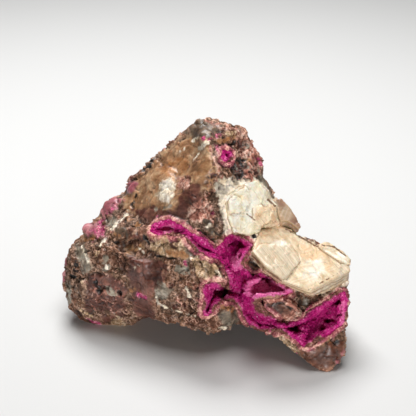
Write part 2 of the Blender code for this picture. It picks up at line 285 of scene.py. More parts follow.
def normals_of(item):
    flat = np.empty(len(item.data.vertices) * 3)
    item.data.vertex_normals.foreach_get("vector", flat)
    return flat.reshape(-1, 3)


def move_to(item, places):
    item.data.vertices.foreach_set("co", (places * MM).ravel())
    item.data.update()


def store(item, name, values):
    """Keeps one number for each vertex, for the materials to read."""
    layer = item.data.attributes.new(name, "FLOAT", "POINT")
    layer.data.foreach_set("value", values.astype(np.float32))


def cover(item, material):
    item.data.materials.clear()
    item.data.materials.append(material)


size = places_of(nodes["matrix"]).max(axis=0) - places_of(nodes["matrix"]).min(axis=0)
print("the matrix measures", size.round(1), "mm")

# %% [markdown]
# ## Noise for relief
#
# A Displace modifier could raise the relief, but it knows nothing of where each mineral lies. So the
# relief is noise that is worked out here, a number for each vertex. Smooth noise gives worn bumps,
# and cells that each lean their own way give the flat faces of crystals.

# %% Noise
# Noise that has a direction is drawn anew each time Blender starts, unless it gets a seed.
NOISE_SEED = 5
noise.seed_set(NOISE_SEED)


def bumps(places, spacing, seed=0):
    """Smooth noise, about -1 to 1, whose bumps are this many millimetres apart."""
    return np.array([noise.noise(spot) for spot in (places / spacing + seed * 7.31).tolist()])


def layered_bumps(places, spacing, seed=0):
    """Noise with finer noise on it."""
    return bumps(places, spacing, seed) + 0.5 * bumps(places, spacing / 2.1, seed + 1)


def facets(places, spacing, seed=0, warp=0.0):
    """Parts the space into crystal cells. Gives a height for each place, tilted a different way in
    each cell, a random number for the cell, and how far the place is from the next cell."""
    heights, marks, gaps = [], [], []
    for row in (places / spacing + seed * 3.7).tolist():
        spot = Vector(row)
        spot += warp * noise.noise_vector(spot * 1.7)
        distances, centres = noise.voronoi(spot)
        lean = noise.cell_vector(centres[0] * 97.0) - Vector((0.5, 0.5, 0.5))
        heights.append(2.0 * lean.dot(spot - centres[0]) + 0.5 * lean.x)
        marks.append(lean.y + 0.5)
        gaps.append(distances[1] - distances[0])
    return np.array(heights), np.array(marks), np.array(gaps)


def ramp(values, low, high):
    """Goes softly from 0 at low to 1 at high."""
    share = np.clip((values - low) / (high - low), 0.0, 1.0)
    return share * share * (3.0 - 2.0 * share)


print("halfway up a ramp:", ramp(np.array([0.5]), 0.0, 1.0)[0])

# %% [markdown]
# ## Where each mineral lies
#
# A stone's colours lie in patches: a clear crystal here, an iron stain there. On the show face each
# patch is drawn with two brushes, an area and a line, in picture pixels, and thrown onto the
# skin along the lines of sight. Noise frays every edge. Where the camera can't see, noise alone deals
# the same minerals out, so the back is as rich as the front.

# %% Brushes
def line_gap(spots, line):
    """How far each spot in the picture is from a line through these points."""
    gap = np.full(len(spots), np.inf)
    for start, end in zip(line, line[1:] or line):
        way = np.subtract(end, start).astype(float)
        along = np.clip((spots - start) @ way / max(way @ way, 1e-9), 0.0, 1.0)
        gap = np.minimum(gap, np.linalg.norm(spots - start - along[:, None] * way, axis=1))
    return gap


def area_gap(spots, outline):
    """How far each spot is from this outline, below zero inside it."""
    closed = outline + outline[:1]
    inside = np.zeros(len(spots), bool)
    for (ax, ay), (bx, by) in zip(closed, closed[1:]):
        rises = (ay > spots[:, 1]) != (by > spots[:, 1])
        inside ^= rises & (spots[:, 0] < ax + (spots[:, 1] - ay) * (bx - ax) / ((by - ay) or 1))
    return np.where(inside, -1.0, 1.0) * line_gap(spots, closed)


middle = picture_spots(VIEW_CENTRE[None, :])
print("the view's centre is seen at", middle[0].round(1))

# %% The patches of the show face
# Most patches are minerals, but some cream ones are painted highlights and glints, and two dark lines are
# painted shade.
AREAS = {
    "honey": [[(123, 206), (125, 196), (133, 184), (143, 173), (154, 161), (166, 147), (180, 138),
               (191, 131), (206, 137), (213, 152), (219, 169), (222, 182), (214, 192), (203, 189),
               (196, 200), (186, 210), (170, 216), (150, 214), (136, 216)]],
    "maroon": [[(132, 210), (150, 206), (166, 209), (184, 206), (192, 212), (182, 224), (160, 224),
                (142, 221)],
               [(128, 256), (150, 258), (170, 264), (160, 286), (152, 300), (156, 318), (140, 324),
                (134, 306), (130, 284)],
               [(183, 186), (200, 183), (202, 200), (192, 208), (184, 214), (176, 210)],
               [(86, 276), (110, 274), (126, 288), (124, 312), (100, 312), (86, 300)]],
    "rose": [[(80, 226), (87, 220), (97, 223), (99, 234), (88, 238)],
             [(99, 213), (104, 200), (115, 195), (122, 200), (116, 211), (104, 219)],
             [(332, 352), (339, 347), (344, 352), (336, 366)],
             [(126, 192), (127, 184), (132, 179), (136, 184), (133, 193)]],
    "salmon": [[(251, 303), (258, 297), (272, 295), (290, 296), (300, 304), (299, 317), (284, 323),
                (266, 320), (253, 312)],
               [(188, 206), (204, 200), (214, 208), (214, 222), (196, 224), (187, 218)],
               [(178, 176), (190, 177), (188, 190), (178, 190)],
               [(237, 152), (248, 146), (260, 154), (262, 172), (250, 180), (240, 178)]],
    "sugar": [[(152, 238), (166, 233), (186, 234), (190, 248), (184, 258), (168, 258), (152, 250)],
              [(190, 256), (206, 257), (220, 266), (226, 284), (214, 280), (200, 276), (190, 266)],
              [(272, 329), (284, 330), (296, 340), (300, 352), (290, 350), (278, 341)],
              [(112, 318), (123, 317), (125, 326), (113, 327)]],
    "grey": [[(75, 247), (84, 244), (90, 256), (92, 270), (84, 274), (78, 262)],
             [(108, 219), (114, 215), (119, 219), (117, 227), (109, 227)],
             [(153, 286), (166, 284), (172, 290), (168, 300), (156, 298)],
             [(183, 244), (193, 243), (195, 256), (186, 259)],
             [(258, 168), (264, 176), (270, 190), (277, 206), (266, 202), (258, 186)],
             [(222, 311), (232, 310), (241, 318), (238, 327), (226, 330), (219, 322)]],
    "glass": [[(191, 167), (200, 161), (213, 159), (217, 170), (217, 181), (209, 187), (203, 185),
               (196, 176)]],
    "slate": [[(184, 134), (193, 121), (200, 117), (203, 121), (221, 126), (213, 136), (195, 138)]],
    "amber": [[(158, 168), (170, 159), (186, 156), (190, 163), (186, 174), (168, 178)],
              [(166, 250), (184, 250), (188, 257), (174, 259)]],
    "cream": [[(218, 184), (232, 176), (250, 180), (262, 196), (278, 206), (302, 236), (268, 244),
               (246, 238), (226, 236), (220, 214)],
              # This cream area is a painted highlight: the white flash on the glassy honey wall.
              [(160, 182), (170, 177), (176, 186), (172, 198), (163, 204), (157, 195)],
              [(213, 182), (224, 178), (230, 183), (226, 196), (216, 197)]],
    "rust": [[(300, 343), (318, 346), (336, 339), (344, 344), (340, 358), (328, 370), (312, 364),
              (300, 354)],
             [(261, 305), (272, 301), (284, 302), (293, 309), (289, 314), (276, 313), (264, 310)]],
    "dark": [[(233, 159), (242, 156), (247, 164), (245, 178), (236, 180), (231, 169)]],
    "magenta": [[(92, 231), (99, 225), (106, 228), (105, 237), (95, 240)],
                [(216, 147), (228, 145), (235, 155), (231, 167), (220, 165)]],
}
LINES = {
    "honey": [(4, [(126, 250), (142, 246)])],
    "maroon": [(3, [(131, 233), (142, 239)]), (3, [(226, 148), (238, 141)]), (5, [(90, 308), (94, 306)]),
               (5, [(104, 318), (120, 315)]), (4, [(160, 272), (160, 280)])],
    "rose": [(3, [(65, 250), (63, 264)]), (2, [(62, 266), (64, 280)])],
    "salmon": [(2.5, [(201, 119), (222, 126)]), (2.5, [(218, 126), (238, 130)]),
               (2, [(105, 241), (113, 230)]), (2, [(209, 148), (219, 168), (222, 178)]),
               (3, [(240, 132), (256, 148), (261, 164)])],
    "sugar": [(2, [(79, 309), (91, 317)]), (3, [(226, 134), (233, 133)]), (2.5, [(206, 222), (214, 232)]),
              (4, [(98, 252), (98, 252)]), (3, [(82, 282), (82, 282)])],
    "grey": [(5, [(105, 260), (107, 270)]), (3.5, [(68, 284), (69, 302)]),
             (5, [(108, 290), (114, 293)]), (3, [(156, 209), (170, 207)]),
             (3.5, [(305, 294), (306, 311)]), (3, [(247, 165), (251, 172)]),
             (3, [(196, 136), (206, 132)]), (3.5, [(239, 146), (246, 147)]),
             (5, [(176, 268), (190, 270)])],
    "slate": [(5, [(118, 230), (126, 235)]), (4, [(206, 222), (216, 233)])],
    "amber": [(2.5, [(129, 219), (138, 225)]), (3, [(115, 234), (120, 236)]), (3.5, [(133, 290)]),
              (2, [(244, 160), (252, 160)]), (3, [(322, 344), (330, 342)]),
              (3, [(220, 141), (234, 138)]), (2.5, [(82, 240), (95, 237)]),
              (2.5, [(192, 228), (212, 246)]), (3, [(224, 306), (231, 310)])],
    "cream": [(2, [(112, 229), (128, 212)]), (1.6, [(99, 246), (105, 239)]),
              (2, [(106, 266), (108, 271)]),
              (1.4, [(82, 247), (88, 262)]), (1.2, [(156, 297), (159, 303), (165, 307)]),
              (0.4, [(166, 308), (176, 310), (186, 314), (195, 316)]), (1.3, [(186, 288), (190, 296)]),
              # The first line here is a painted highlight at the top of the honey wall.
              (2.6, [(200, 149), (206, 143)]), (1.3, [(193, 141), (200, 137)]),
              (1.2, [(180, 151), (186, 147)]), (1.2, [(193, 160), (199, 153)]),
              (2.4, [(217, 272), (222, 279), (226, 287)]), (1.5, [(206, 227), (210, 225)]),
              (1, [(253, 262), (262, 267)]), (1.5, [(219, 328), (226, 328)]),
              # This line and the last of the list are painted glints.
              (1.2, [(191, 258), (198, 257)]),
              (1.3, [(137, 246), (144, 253)]), (1, [(134, 268), (139, 266)])],
    "rust": [(3, [(172, 244), (176, 247)])],
    "dark": [(2, [(143, 170), (150, 166)]), (1.6, [(150, 164), (155, 154)]),
             (1.8, [(161, 149), (167, 147)]), (1.3, [(131, 205), (137, 194)]),
             (1.4, [(191, 194), (197, 198)]), (4, [(117, 243)]),
             (2.5, [(145, 237), (148, 242)]), (4.5, [(97, 283), (100, 288)]),
             (2, [(117, 291), (121, 293)]),
             (3, [(72, 275), (77, 279)]), (2.6, [(76, 262), (76, 270)]), (2.2, [(230, 145), (235, 142)]),
             (2.5, [(247, 231), (255, 236)]), (1.2, [(152, 254), (166, 258), (176, 259)]),
             (1, [(195, 246), (195, 255)]), (1.6, [(299, 297), (300, 305)]), (2, [(333, 339), (337, 342)]),
             (1.3, [(259, 308), (270, 304), (281, 303), (289, 307), (296, 312)]),
             # These two lines are painted shade: in the gap at the block's left end, and under the pink lip
             # below the block.
             (1.5, [(250, 262), (258, 266)]), (1.5, [(258, 271), (268, 276), (280, 286)])],
    "magenta": [(1.8, [(98, 226), (106, 215), (115, 206)]), (2, [(112, 209), (117, 208)]),
                (1.5, [(158, 217), (172, 219), (184, 224), (196, 231), (208, 239), (216, 246)]),
                (2.5, [(138, 294), (145, 297)]), (2.4, [(203, 138), (219, 136)]),
                (1.2, [(200, 214), (213, 213)]), (2, [(256, 158), (261, 164)]),
                (1.5, [(86, 319), (101, 325)]), (1, [(214, 305), (222, 299), (231, 298), (239, 304)]),
                (3, [(304, 312), (316, 306)]), (1.4, [(240, 268), (243, 262), (248, 256), (252, 249)]),
                (1.5, [(184, 262), (186, 266)])],
}

# How each mineral takes its place on the sides that the picture doesn't show: the distance between
# its patches in millimetres, and how strong the noise must be before it shows.
WILD = {
    "honey": (19, 0.16), "maroon": (15, 0.12), "rose": (12, 0.42), "salmon": (9, 0.34),
    "sugar": (11, 0.26), "grey": (9, 0.40), "glass": (11, 0.55), "slate": (15, 0.36),
    "amber": (8, 0.44), "cream": (6, 0.50), "rust": (12, 0.26), "dark": (5, 0.42),
    "magenta": (10, 0.60),
}
MINERALS = list(WILD)
print(sum(map(len, AREAS.values())), "areas and", sum(map(len, LINES.values())), "lines drawn")


# %% Throwing the patches onto a skin
# A place counts as seen if the line of sight meets the solids at most this many millimetres before it.
SIGHT_SLACK = 2.0
# Patches wrap round the stone's outline: they fade out between these two cosines.
WRAP_END = -0.4
WRAP_START = -0.15


def blocked_view():
    """All the solids as one surface, for testing what the camera sees."""
    corners, faces = [], []
    for item in nodes.values():
        first = len(corners)
        corners += [Vector(vertex.co) / MM for vertex in item.data.vertices]
        faces += [[first + index for index in face.vertices] for face in item.data.polygons]
    return BVHTree.FromPolygons(corners, faces)


def seen_share(places, normals):
    """1 where the camera sees the skin, 0 where it doesn't."""
    away = places - eye
    reach = np.linalg.norm(away, axis=1)
    ways = away / reach[:, None]
    facing = -(normals * ways).sum(axis=1)
    seen = np.zeros(len(places))
    start = Vector(eye)
    for index in np.flatnonzero(facing > WRAP_END).tolist():
        hit = view_surface.ray_cast(start, Vector(ways[index]))[3]
        if hit is None or hit > reach[index] - SIGHT_SLACK:
            seen[index] = 1.0
    return seen * ramp(facing, WRAP_END, WRAP_START)


def mineral_shares(places, normals):
    """How much of each mineral every place of a skin shows."""
    spots = picture_spots(places)
    fray = 3.0 * bumps(places, 3.1, 13) + 2.4 * bumps(places, 1.5, 11) + 1.4 * bumps(places, 0.8, 12)
    fade = 0.62 + 0.38 * ramp(bumps(places, 2.2, 14), -0.35, 0.15)
    swing = 0.85 + 0.6 * bumps(places, 2.4, 15)
    breaks = ramp(bumps(places, 1.3, 16), -0.4, 0.05)
    seen = seen_share(places, normals)
    shares = {}
    for order, mineral in enumerate(MINERALS):
        drawn = np.zeros(len(places))
        for outline in AREAS.get(mineral, []):
            drawn = np.maximum(drawn, fade * ramp(area_gap(spots, outline) + fray, 3.4, -3.4))
        for radius, line in LINES.get(mineral, []):
            gap = line_gap(spots, line) + 0.45 * fray - radius * swing
            drawn = np.maximum(drawn, breaks * ramp(gap, 1.2, -1.2))
        spacing, strength = WILD[mineral]
        wild = ramp(layered_bumps(places, spacing, 20 + 3 * order), strength, strength + 0.15)
        shares[mineral] = seen * drawn + (1.0 - seen) * fade * wild
    return shares


view_surface = blocked_view()
in_view = seen_share(places_of(nodes["matrix"]), normals_of(nodes["matrix"]))
print(f"the camera sees {in_view.mean():.0%} of the matrix's corners")

# %% [markdown]
# ## The matrix skin
#
# Broken dolomite is a crowd of crystals, each with its own flat faces. There are far too many of them
# to model one by one, so the relief is made of cells that each lean their own way, in three sizes.
# Glassy honey calcite breaks smoother, dark oxide sits in pits, and a honeycomb of thin walls shows
# where other crystals have been dissolved out. A few dark lines are painted shade in narrow gaps.

# %% How each mineral breaks
# For each mineral: its lift in millimetres, how coarse it is next to plain matrix, and how many loose
# crystals it has.
BREAKS = {
    "honey": (-0.1, 0.2, 0.0), "maroon": (0.0, 0.32, 0.0), "rose": (0.5, 0.12, 0.0),
    "salmon": (0.1, 0.8, 0.25), "sugar": (0.25, 1.0, 0.6), "grey": (-0.1, 0.4, 0.0),
    "glass": (-0.25, 0.04, 0.0), "slate": (-0.1, 0.25, 0.0), "amber": (-0.1, 0.3, 0.0),
    "cream": (0.1, 0.5, 0.05), "rust": (0.0, 0.35, 0.05), "dark": (-0.9, 0.8, 0.0),
    "magenta": (-0.1, 0.9, 0.8),
}
PLAIN_LOOSE = 0.05
# These minerals break smooth and take a soft shine.
CALM = ("honey", "maroon", "rose", "grey", "glass", "slate", "amber", "rust", "dark")
COMB_AREAS = [
    [(84, 274), (104, 272), (126, 282), (128, 314), (104, 318), (84, 302)],
    [(234, 132), (248, 132), (264, 150), (264, 172), (250, 182), (232, 180)],
    [(168, 284), (196, 282), (206, 300), (200, 314), (172, 308)],
    [(206, 176), (214, 160), (220, 176), (216, 198), (204, 204)],
]
COMB_SPACING = 2.6
COMB_WARP = 0.45
COMB_DEPTH = 0.7


def comb_share(places, normals):
    """Where the honeycomb shows, and how far each place is from a cell wall, in cell widths."""
    spots = picture_spots(places)
    drawn = np.zeros(len(places))
    fray = 3.5 * bumps(places, 3.2, 41) + 1.5 * bumps(places, 1.2, 44)
    for outline in COMB_AREAS:
        drawn = np.maximum(drawn, ramp(area_gap(spots, outline) + fray, 3.0, -3.0))
    seen = seen_share(places, normals)
    wild = ramp(bumps(places, 13.0, 42), 0.12, 0.25)
    _, marks, gaps = facets(places, COMB_SPACING, 43, COMB_WARP)
    share = seen * drawn + (1.0 - seen) * wild
    return share, gaps, share * ramp(gaps, 0.08, 0.4) * ramp(marks, 0.25, 0.5)


print("a comb cell is", COMB_SPACING, "mm wide")

# %% Relief of the matrix
MATRIX_VOXEL = 0.38
MATRIX_TRIANGLES = 190000
MATRIX_SMOOTHING = 6
# The three sizes of crystal: how wide a cell is, which draw it comes from, and how bent it is.
CLAST = (5.5, 1, 0.35)
CRYSTAL = (2.5, 2, 0.3)
SPECK = (1.2, 3, 0.0)
SWELLS = 9.0
# Where the matrix meets a neighbour, a lip of it rises over the seam.
CRUSTS = ["pink_druse", "crown_druse"]
CRYSTALS = ["calcite_block", "calcite_shoulder", "calcite_fin"]
CRUST_LIP = 1.1
CRYSTAL_LIP = 0.5
SEAM_START = 1.4
SEAM_FULL = 0.7
SEAM_CALM = 0.6
GROUND_FULL = 0.2
GROUND_END = 1.6


def matrix_relief(places, normals):
    """How far each place of the matrix skin rises, in millimetres."""
    lift, coarse = np.zeros(len(places)), np.ones(len(places))
    for mineral, share in mineral_shares(places, normals).items():
        height, coarseness, _ = BREAKS[mineral]
        lift += share * (height - lift)
        coarse += share * (coarseness - coarse)
    lift -= COMB_DEPTH * comb_share(places, normals)[2]
    clasts, _, clast_gaps = facets(places, *CLAST)
    crystals, _, crystal_gaps = facets(places, *CRYSTAL)
    crowd = 0.95 * clasts - 0.4 * ramp(clast_gaps, 0.14, 0.0)
    crowd += 0.5 * crystals - 0.2 * ramp(crystal_gaps, 0.16, 0.0)
    crowd += 0.16 * facets(places, *SPECK)[0] + 0.15 * bumps(places, 1.6, 5)
    return lift + coarse * crowd + 0.6 * layered_bumps(places, SWELLS, 4)


def gap_to(places, node):
    """How far each place is from a solid's surface, in millimetres."""
    corners = [Vector(vertex.co) / MM for vertex in nodes[node].data.vertices]
    tree = BVHTree.FromPolygons(corners, [face.vertices[:] for face in nodes[node].data.polygons])
    return np.array([tree.find_nearest(Vector(place))[3] for place in places])


def gap_to_neighbours(places, names):
    return np.min([gap_to(places, name) for name in names], axis=0)


def with_lip(rise, gap, lip):
    """The relief near a seam: calmer than elsewhere, with a lip that reaches towards the neighbour."""
    seams = ramp(gap, SEAM_START, SEAM_FULL)
    return rise * (1.0 - SEAM_CALM * seams) + lip * seams


def on_the_ground(places):
    """1 on the worn patches that the stone rests on, 0 a little above them."""
    return ramp(places[:, 2], GROUND_END, GROUND_FULL)


def make_matrix():
    item = relax(even_skin(copy_of("matrix", "matrix_rock"), MATRIX_VOXEL), MATRIX_SMOOTHING)
    places, normals = places_of(item), normals_of(item)
    rise = matrix_relief(places, normals) * (1.0 - on_the_ground(places))
    for names, lip in ((CRUSTS, CRUST_LIP), (CRYSTALS, CRYSTAL_LIP)):
        rise = with_lip(rise, gap_to_neighbours(places, names), lip)
    places += normals * rise[:, None]
    places[:, 2] = np.maximum(places[:, 2], 0.0)
    move_to(item, places)
    return thin_out(item, MATRIX_TRIANGLES)


matrix_rock = make_matrix()
print(f"matrix skin: {len(matrix_rock.data.polygons)} faces")

# %% [markdown]
# ## What the skin tells its material
#
# The material needs to know more than the place of a point: which mineral it is, whether it lies in a
# pit or on an edge, and how near the pink crust it is. Each of these is worked out once per vertex and
# kept as an attribute, which is a number that every vertex carries.

# %% Pits, edges and fringes
# Smoothed this often, a skin has lost its small pits or its wide dips.
PIT_SMOOTHING = 10
DIP_SMOOTHING = 60


def hollowness(item, times):
    """How far each vertex lies below the evened-out skin: above zero in a pit, below it on an edge."""
    calm = bpy.data.objects.new("calm", item.data.copy())
    bpy.context.scene.collection.objects.link(calm)
    relax(calm, times)
    depth = ((places_of(calm) - places_of(item)) * normals_of(item)).sum(axis=1)
    bpy.data.objects.remove(calm)
    return depth


def mark_matrix(item):
    places, normals = places_of(item), normals_of(item)
    loose = np.full(len(places), PLAIN_LOOSE)
    calm = np.zeros(len(places))
    shares = mineral_shares(places, normals)
    beside = gap_to_neighbours(places, CRYSTALS) + 0.9 * bumps(places, 1.8, 53)
    shares["cream"] = np.maximum(shares["cream"], 0.8 * ramp(beside, 2.4, 0.8))
    for mineral, share in shares.items():
        store(item, mineral, share)
        loose += share * (BREAKS[mineral][2] - loose)
        calm += share * (float(mineral in CALM) - calm)
    store(item, "calm", calm)
    comb, wall_gap, cell = comb_share(places, normals)
    broken = ramp(bumps(places, 1.9, 52), -0.15, 0.2)
    store(item, "net", 0.8 * comb * broken * ramp(wall_gap, 0.16, 0.03))
    store(item, "cell", cell)
    store(item, "clast", facets(places, *CLAST)[1])
    store(item, "crystal", facets(places, *CRYSTAL)[1])
    store(item, "pit", hollowness(item, PIT_SMOOTHING))
    store(item, "dip", hollowness(item, DIP_SMOOTHING))
    fringe = gap_to_neighbours(places, CRUSTS) + 0.8 * bumps(places, 1.5, 51)
    store(item, "fringe", ramp(fringe, 1.9, 0.6))
    store(item, "loose", np.maximum(loose, 0.2 * comb) * (1.0 - on_the_ground(places)))
    item.data.polygons.foreach_set("use_smooth", [True] * len(item.data.polygons))


triangles_only(matrix_rock)
mark_matrix(matrix_rock)
print("matrix attributes:", ", ".join(layer.name for layer in matrix_rock.data.attributes
                                      if layer.data_type == "FLOAT"))

# %% [markdown]
# ## The pink crust
#
# The druse is a crust of tiny pink dolomite crystals, coloured by traces of cobalt. It is lumpy where
# the crystals grew in clusters, and each crystal is well under a millimetre. The lumps are relief on
# the crust's skin, and the crystals themselves are scattered on it further down.

# %% The rim of a crust
# The matrix's corners that are further than this from the crust, in millimetres, count as outside it.
RIM_REACH = 1.6


def rim_share(places, node):
    """1 at the crust's rim, where it meets the outside of the stone, falling to 0 down in the hollow."""
    corners = places_of(nodes["matrix"])
    crust = KDTree(len(nodes[node].data.vertices))
    for index, place in enumerate(places_of(nodes[node])):
        crust.insert(place, index)
    crust.balance()
    outside = [place for place in corners if crust.find(place)[2] > RIM_REACH]
    outer = KDTree(len(outside))
    for index, place in enumerate(outside):
        outer.insert(place, index)
    outer.balance()
    gap = np.array([outer.find(place)[2] for place in places])
    return ramp(gap + 0.6 * bumps(places, 1.6, 66), 2.4, 1.4)


rim_now = rim_share(places_of(nodes["pink_druse"]), "pink_druse")
print(f"rim: {rim_now.mean():.0%} of the pink crust's corners")

# %% Crust skins
CRUST_VOXEL = 0.33
CRUST_SMOOTHING = 3
CRUST_SWELL = 0.3
# Clusters that stand out of the hollows' floors: how far, in millimetres, and where.
CLUSTERS = [
    (6.5, [(244, 283), (258, 277), (280, 280), (294, 290), (278, 298), (255, 299), (243, 295)]),
    (4.5, [(221, 246), (238, 241), (248, 252), (243, 267), (232, 272), (223, 260)]),
    (3.0, [(299, 338), (298, 326), (316, 312), (336, 300), (343, 304), (341, 322), (329, 334),
           (311, 341)]),
    (1.5, [(252, 312), (262, 318), (282, 322), (286, 328), (268, 327), (252, 322)]),
]
# Where the crystals are painted paler: partly paler crystals, partly painted light in hollows that the
# lamps hardly reach, most of all the shelf under the block's overhang.
PALE_AND_PAINTED_LIGHT = [
    [(246, 282), (262, 278), (282, 282), (294, 291), (278, 298), (256, 299), (245, 294)],
    [(162, 224), (172, 224), (174, 232), (163, 235)],
    [(339, 303), (344, 300), (345, 326), (341, 328)],
    [(230, 256), (241, 252), (243, 266), (234, 272)],
]
# Where the crust is pink. Outside these outlines it is bare, and looks like the rock round it.
PINK = [
    [(144, 227), (151, 220), (162, 216), (171, 219), (180, 223), (189, 228), (198, 234), (208, 241),
     (215, 248), (219, 243), (224, 235), (229, 232), (237, 236), (253, 244), (246, 254), (240, 264),
     (243, 268), (256, 270), (268, 276), (276, 283), (288, 287), (295, 293), (293, 297), (283, 295),
     (267, 296), (256, 299), (252, 303), (257, 312), (267, 316), (278, 318), (290, 321), (302, 319),
     (308, 313), (317, 306), (332, 298), (342, 292), (348, 286), (349, 300), (346, 322), (343, 328),
     (331, 337), (317, 337), (307, 345), (299, 352), (292, 341), (286, 332), (278, 328), (262, 330),
     (248, 324), (242, 312), (239, 303), (231, 297), (222, 299), (214, 305), (211, 314), (206, 320),
     (202, 315), (206, 303), (202, 292), (205, 284), (214, 282), (225, 289), (231, 291), (228, 276),
     (223, 266), (216, 260), (208, 257), (198, 249), (190, 240), (183, 234), (175, 233), (167, 232),
     (160, 237), (155, 241), (149, 234)],
    [(217, 149), (222, 146), (230, 149), (233, 155), (228, 160), (224, 165), (219, 158)],
]


def make_crust(node, name):
    item = relax(even_skin(copy_of(node, name), CRUST_VOXEL), CRUST_SMOOTHING)
    places, normals = places_of(item), normals_of(item)
    lumps = 0.42 * bumps(places, 3.4, 61) + 0.4 * facets(places, 2.2, 62)[0]
    lumps += 0.2 * facets(places, 1.0, 63)[0] + 0.15 * bumps(places, 0.9, 64)
    open_side = ramp(gap_to(places, "matrix"), 0.6, 1.0)
    rim = rim_share(places, node)
    rise = CRUST_SWELL - 0.7 * rim * open_side + lumps * (0.3 + 0.7 * open_side) * (1.0 - 0.5 * rim)
    towards_eye = (eye - places) / np.linalg.norm(eye - places, axis=1)[:, None]
    seen, spots = seen_share(places, normals), picture_spots(places)
    moved = places + normals * rise[:, None]
    for height, outline in CLUSTERS:
        swollen = height * seen * (1.0 - rim) * ramp(area_gap(spots, outline), 1.5, -4.0)
        moved += towards_eye * swollen[:, None]
    moved[:, 2] = np.maximum(moved[:, 2], 0.0)
    move_to(item, moved)
    triangles_only(item)
    places, normals = places_of(item), normals_of(item)
    seen, spots = seen_share(places, normals), picture_spots(places)
    gap = np.min([area_gap(spots, outline) for outline in PINK], axis=0)
    gap += 1.6 * bumps(places, 1.3, 67) + 1.0 * bumps(places, 0.6, 68)
    bare = seen * ramp(gap, -0.8, 0.8)
    store(item, "bare", bare)
    # The pale attribute is partly paler crystals and partly painted light.
    pale = np.min([area_gap(spots, outline) for outline in PALE_AND_PAINTED_LIGHT], axis=0) + 1.5 * bumps(places, 1.8, 69)
    store(item, "pale", seen * ramp(pale, 1.5, -1.5))
    store(item, "rim", (1.0 - bare) * np.maximum(seen * ramp(gap, -2.8, -0.2), (1.0 - seen) * rim))
    store(item, "open", ramp(gap_to(places, "matrix"), 1.0, 1.3) * (1.0 - 0.8 * bare))
    store(item, "pit", hollowness(item, PIT_SMOOTHING))
    return item


pink_druse_crust = make_crust("pink_druse", "pink_druse_crust")
crown_druse_crust = make_crust("crown_druse", "crown_druse_crust")
print("crust faces:", len(pink_druse_crust.data.polygons), len(crown_druse_crust.data.polygons))

# %% [markdown]
# ## Calcite
#
# Calcite splits along three sets of parallel planes. Its faces are flat but stepped, like a worn stack
# of cards, and thin parallel lines run along its sides. Here the height along a face's normal picks a
# layer, and each layer comes out or goes in a little, which gives both the steps and the lines.

# %% The patches of the calcite
CALCITE_AREAS = {
    "milky": [[(252, 254), (262, 246), (290, 246), (300, 262), (286, 280), (280, 281), (266, 270)],
              [(262, 168), (276, 178), (277, 204), (266, 196)],
              [(336, 262), (349, 262), (349, 284), (338, 282)]],
    "peach": [[(252, 206), (274, 204), (286, 222), (264, 228), (254, 220)],
              [(300, 244), (318, 248), (330, 256), (312, 262), (300, 256)],
              [(258, 230), (280, 229), (276, 240), (260, 240)],
              [(318, 264), (332, 262), (330, 272), (316, 272)]],
    "bright": [[(224, 184), (252, 180), (258, 200), (252, 222), (236, 234), (226, 212)],
               [(306, 262), (322, 258), (326, 272), (312, 284), (302, 276)],
               [(270, 240), (286, 240), (288, 246), (268, 248)]],
}
CALCITE_LINES = {
    "peach": [(2, [(262, 228), (276, 226), (290, 230)])],
    # The first bright line is a painted highlight along the block's front side.
    "bright": [(1.6, [(312, 295), (330, 286), (342, 278)]), (1.2, [(324, 250), (346, 262)]),
               (1.2, [(328, 247), (348, 259)])],
    "brown": [(0.35, [(308, 290), (322, 282), (338, 273)]), (1.0, [(286, 229), (300, 237), (318, 247)]),
              (0.8, [(322, 245), (334, 247), (346, 256)]), (1.2, [(268, 200), (275, 206)]),
              # The last of these brown lines paints shade under the block's lower left edge.
              (0.5, [(247, 214), (255, 220)]), (1.0, [(252, 255), (266, 270), (281, 281)])],
}
CALCITE_MARKS = ("milky", "peach", "bright", "brown")


def calcite_shares(places):
    spots = picture_spots(places)
    fray = 2.0 * bumps(places, 1.8, 81) + bumps(places, 0.7, 82)
    shares = {}
    for mark in CALCITE_MARKS:
        drawn = np.zeros(len(places))
        for outline in CALCITE_AREAS.get(mark, []):
            drawn = np.maximum(drawn, ramp(area_gap(spots, outline) + fray, 2.4, -2.4))
        for radius, line in CALCITE_LINES.get(mark, []):
            gap = line_gap(spots, line) + 0.5 * fray
            drawn = np.maximum(drawn, ramp(gap, radius + 0.9, radius - 0.9))
        shares[mark] = drawn
    return shares


print("marks on the calcite:", ", ".join(CALCITE_MARKS))

# %% Calcite skins
# Each crystal's main face looks this way, and its plates end along lines of this direction.
CLEAVAGE = {
    "calcite_block": ((0.343, -0.258, 0.903), (0.62, -0.70, -0.36)),
    "calcite_shoulder": ((0.478, -0.71, 0.516), (0.55, -0.2, -0.8)),
    "calcite_fin": ((0.351, -0.707, 0.612), (0.8, 0.1, -0.6)),
}
CALCITE_VOXEL = 0.3
CALCITE_SMOOTHING = 3
CALCITE_SWELL = 0.35
CALCITE_LIP = 0.3
# How thick a layer is, and how wide the plates on the main face and their splinters are.
LAYER = 0.8
PLATE = 2.6
SPLINTER = 0.7
# A face counts as a side when it turns away from the main one. By the cosine of the angle between them,
# this starts at the first of these numbers and is complete at the second.
SIDE_START = 0.75
SIDE_FULL = 0.35


def stack(heights, thickness, seed):
    """A random number for each layer of this thickness: the same all along one layer."""
    layers = np.floor(heights / thickness)
    return np.abs(np.modf(np.sin(layers * 12.9898 + seed * 4.13) * 43758.5453)[0])


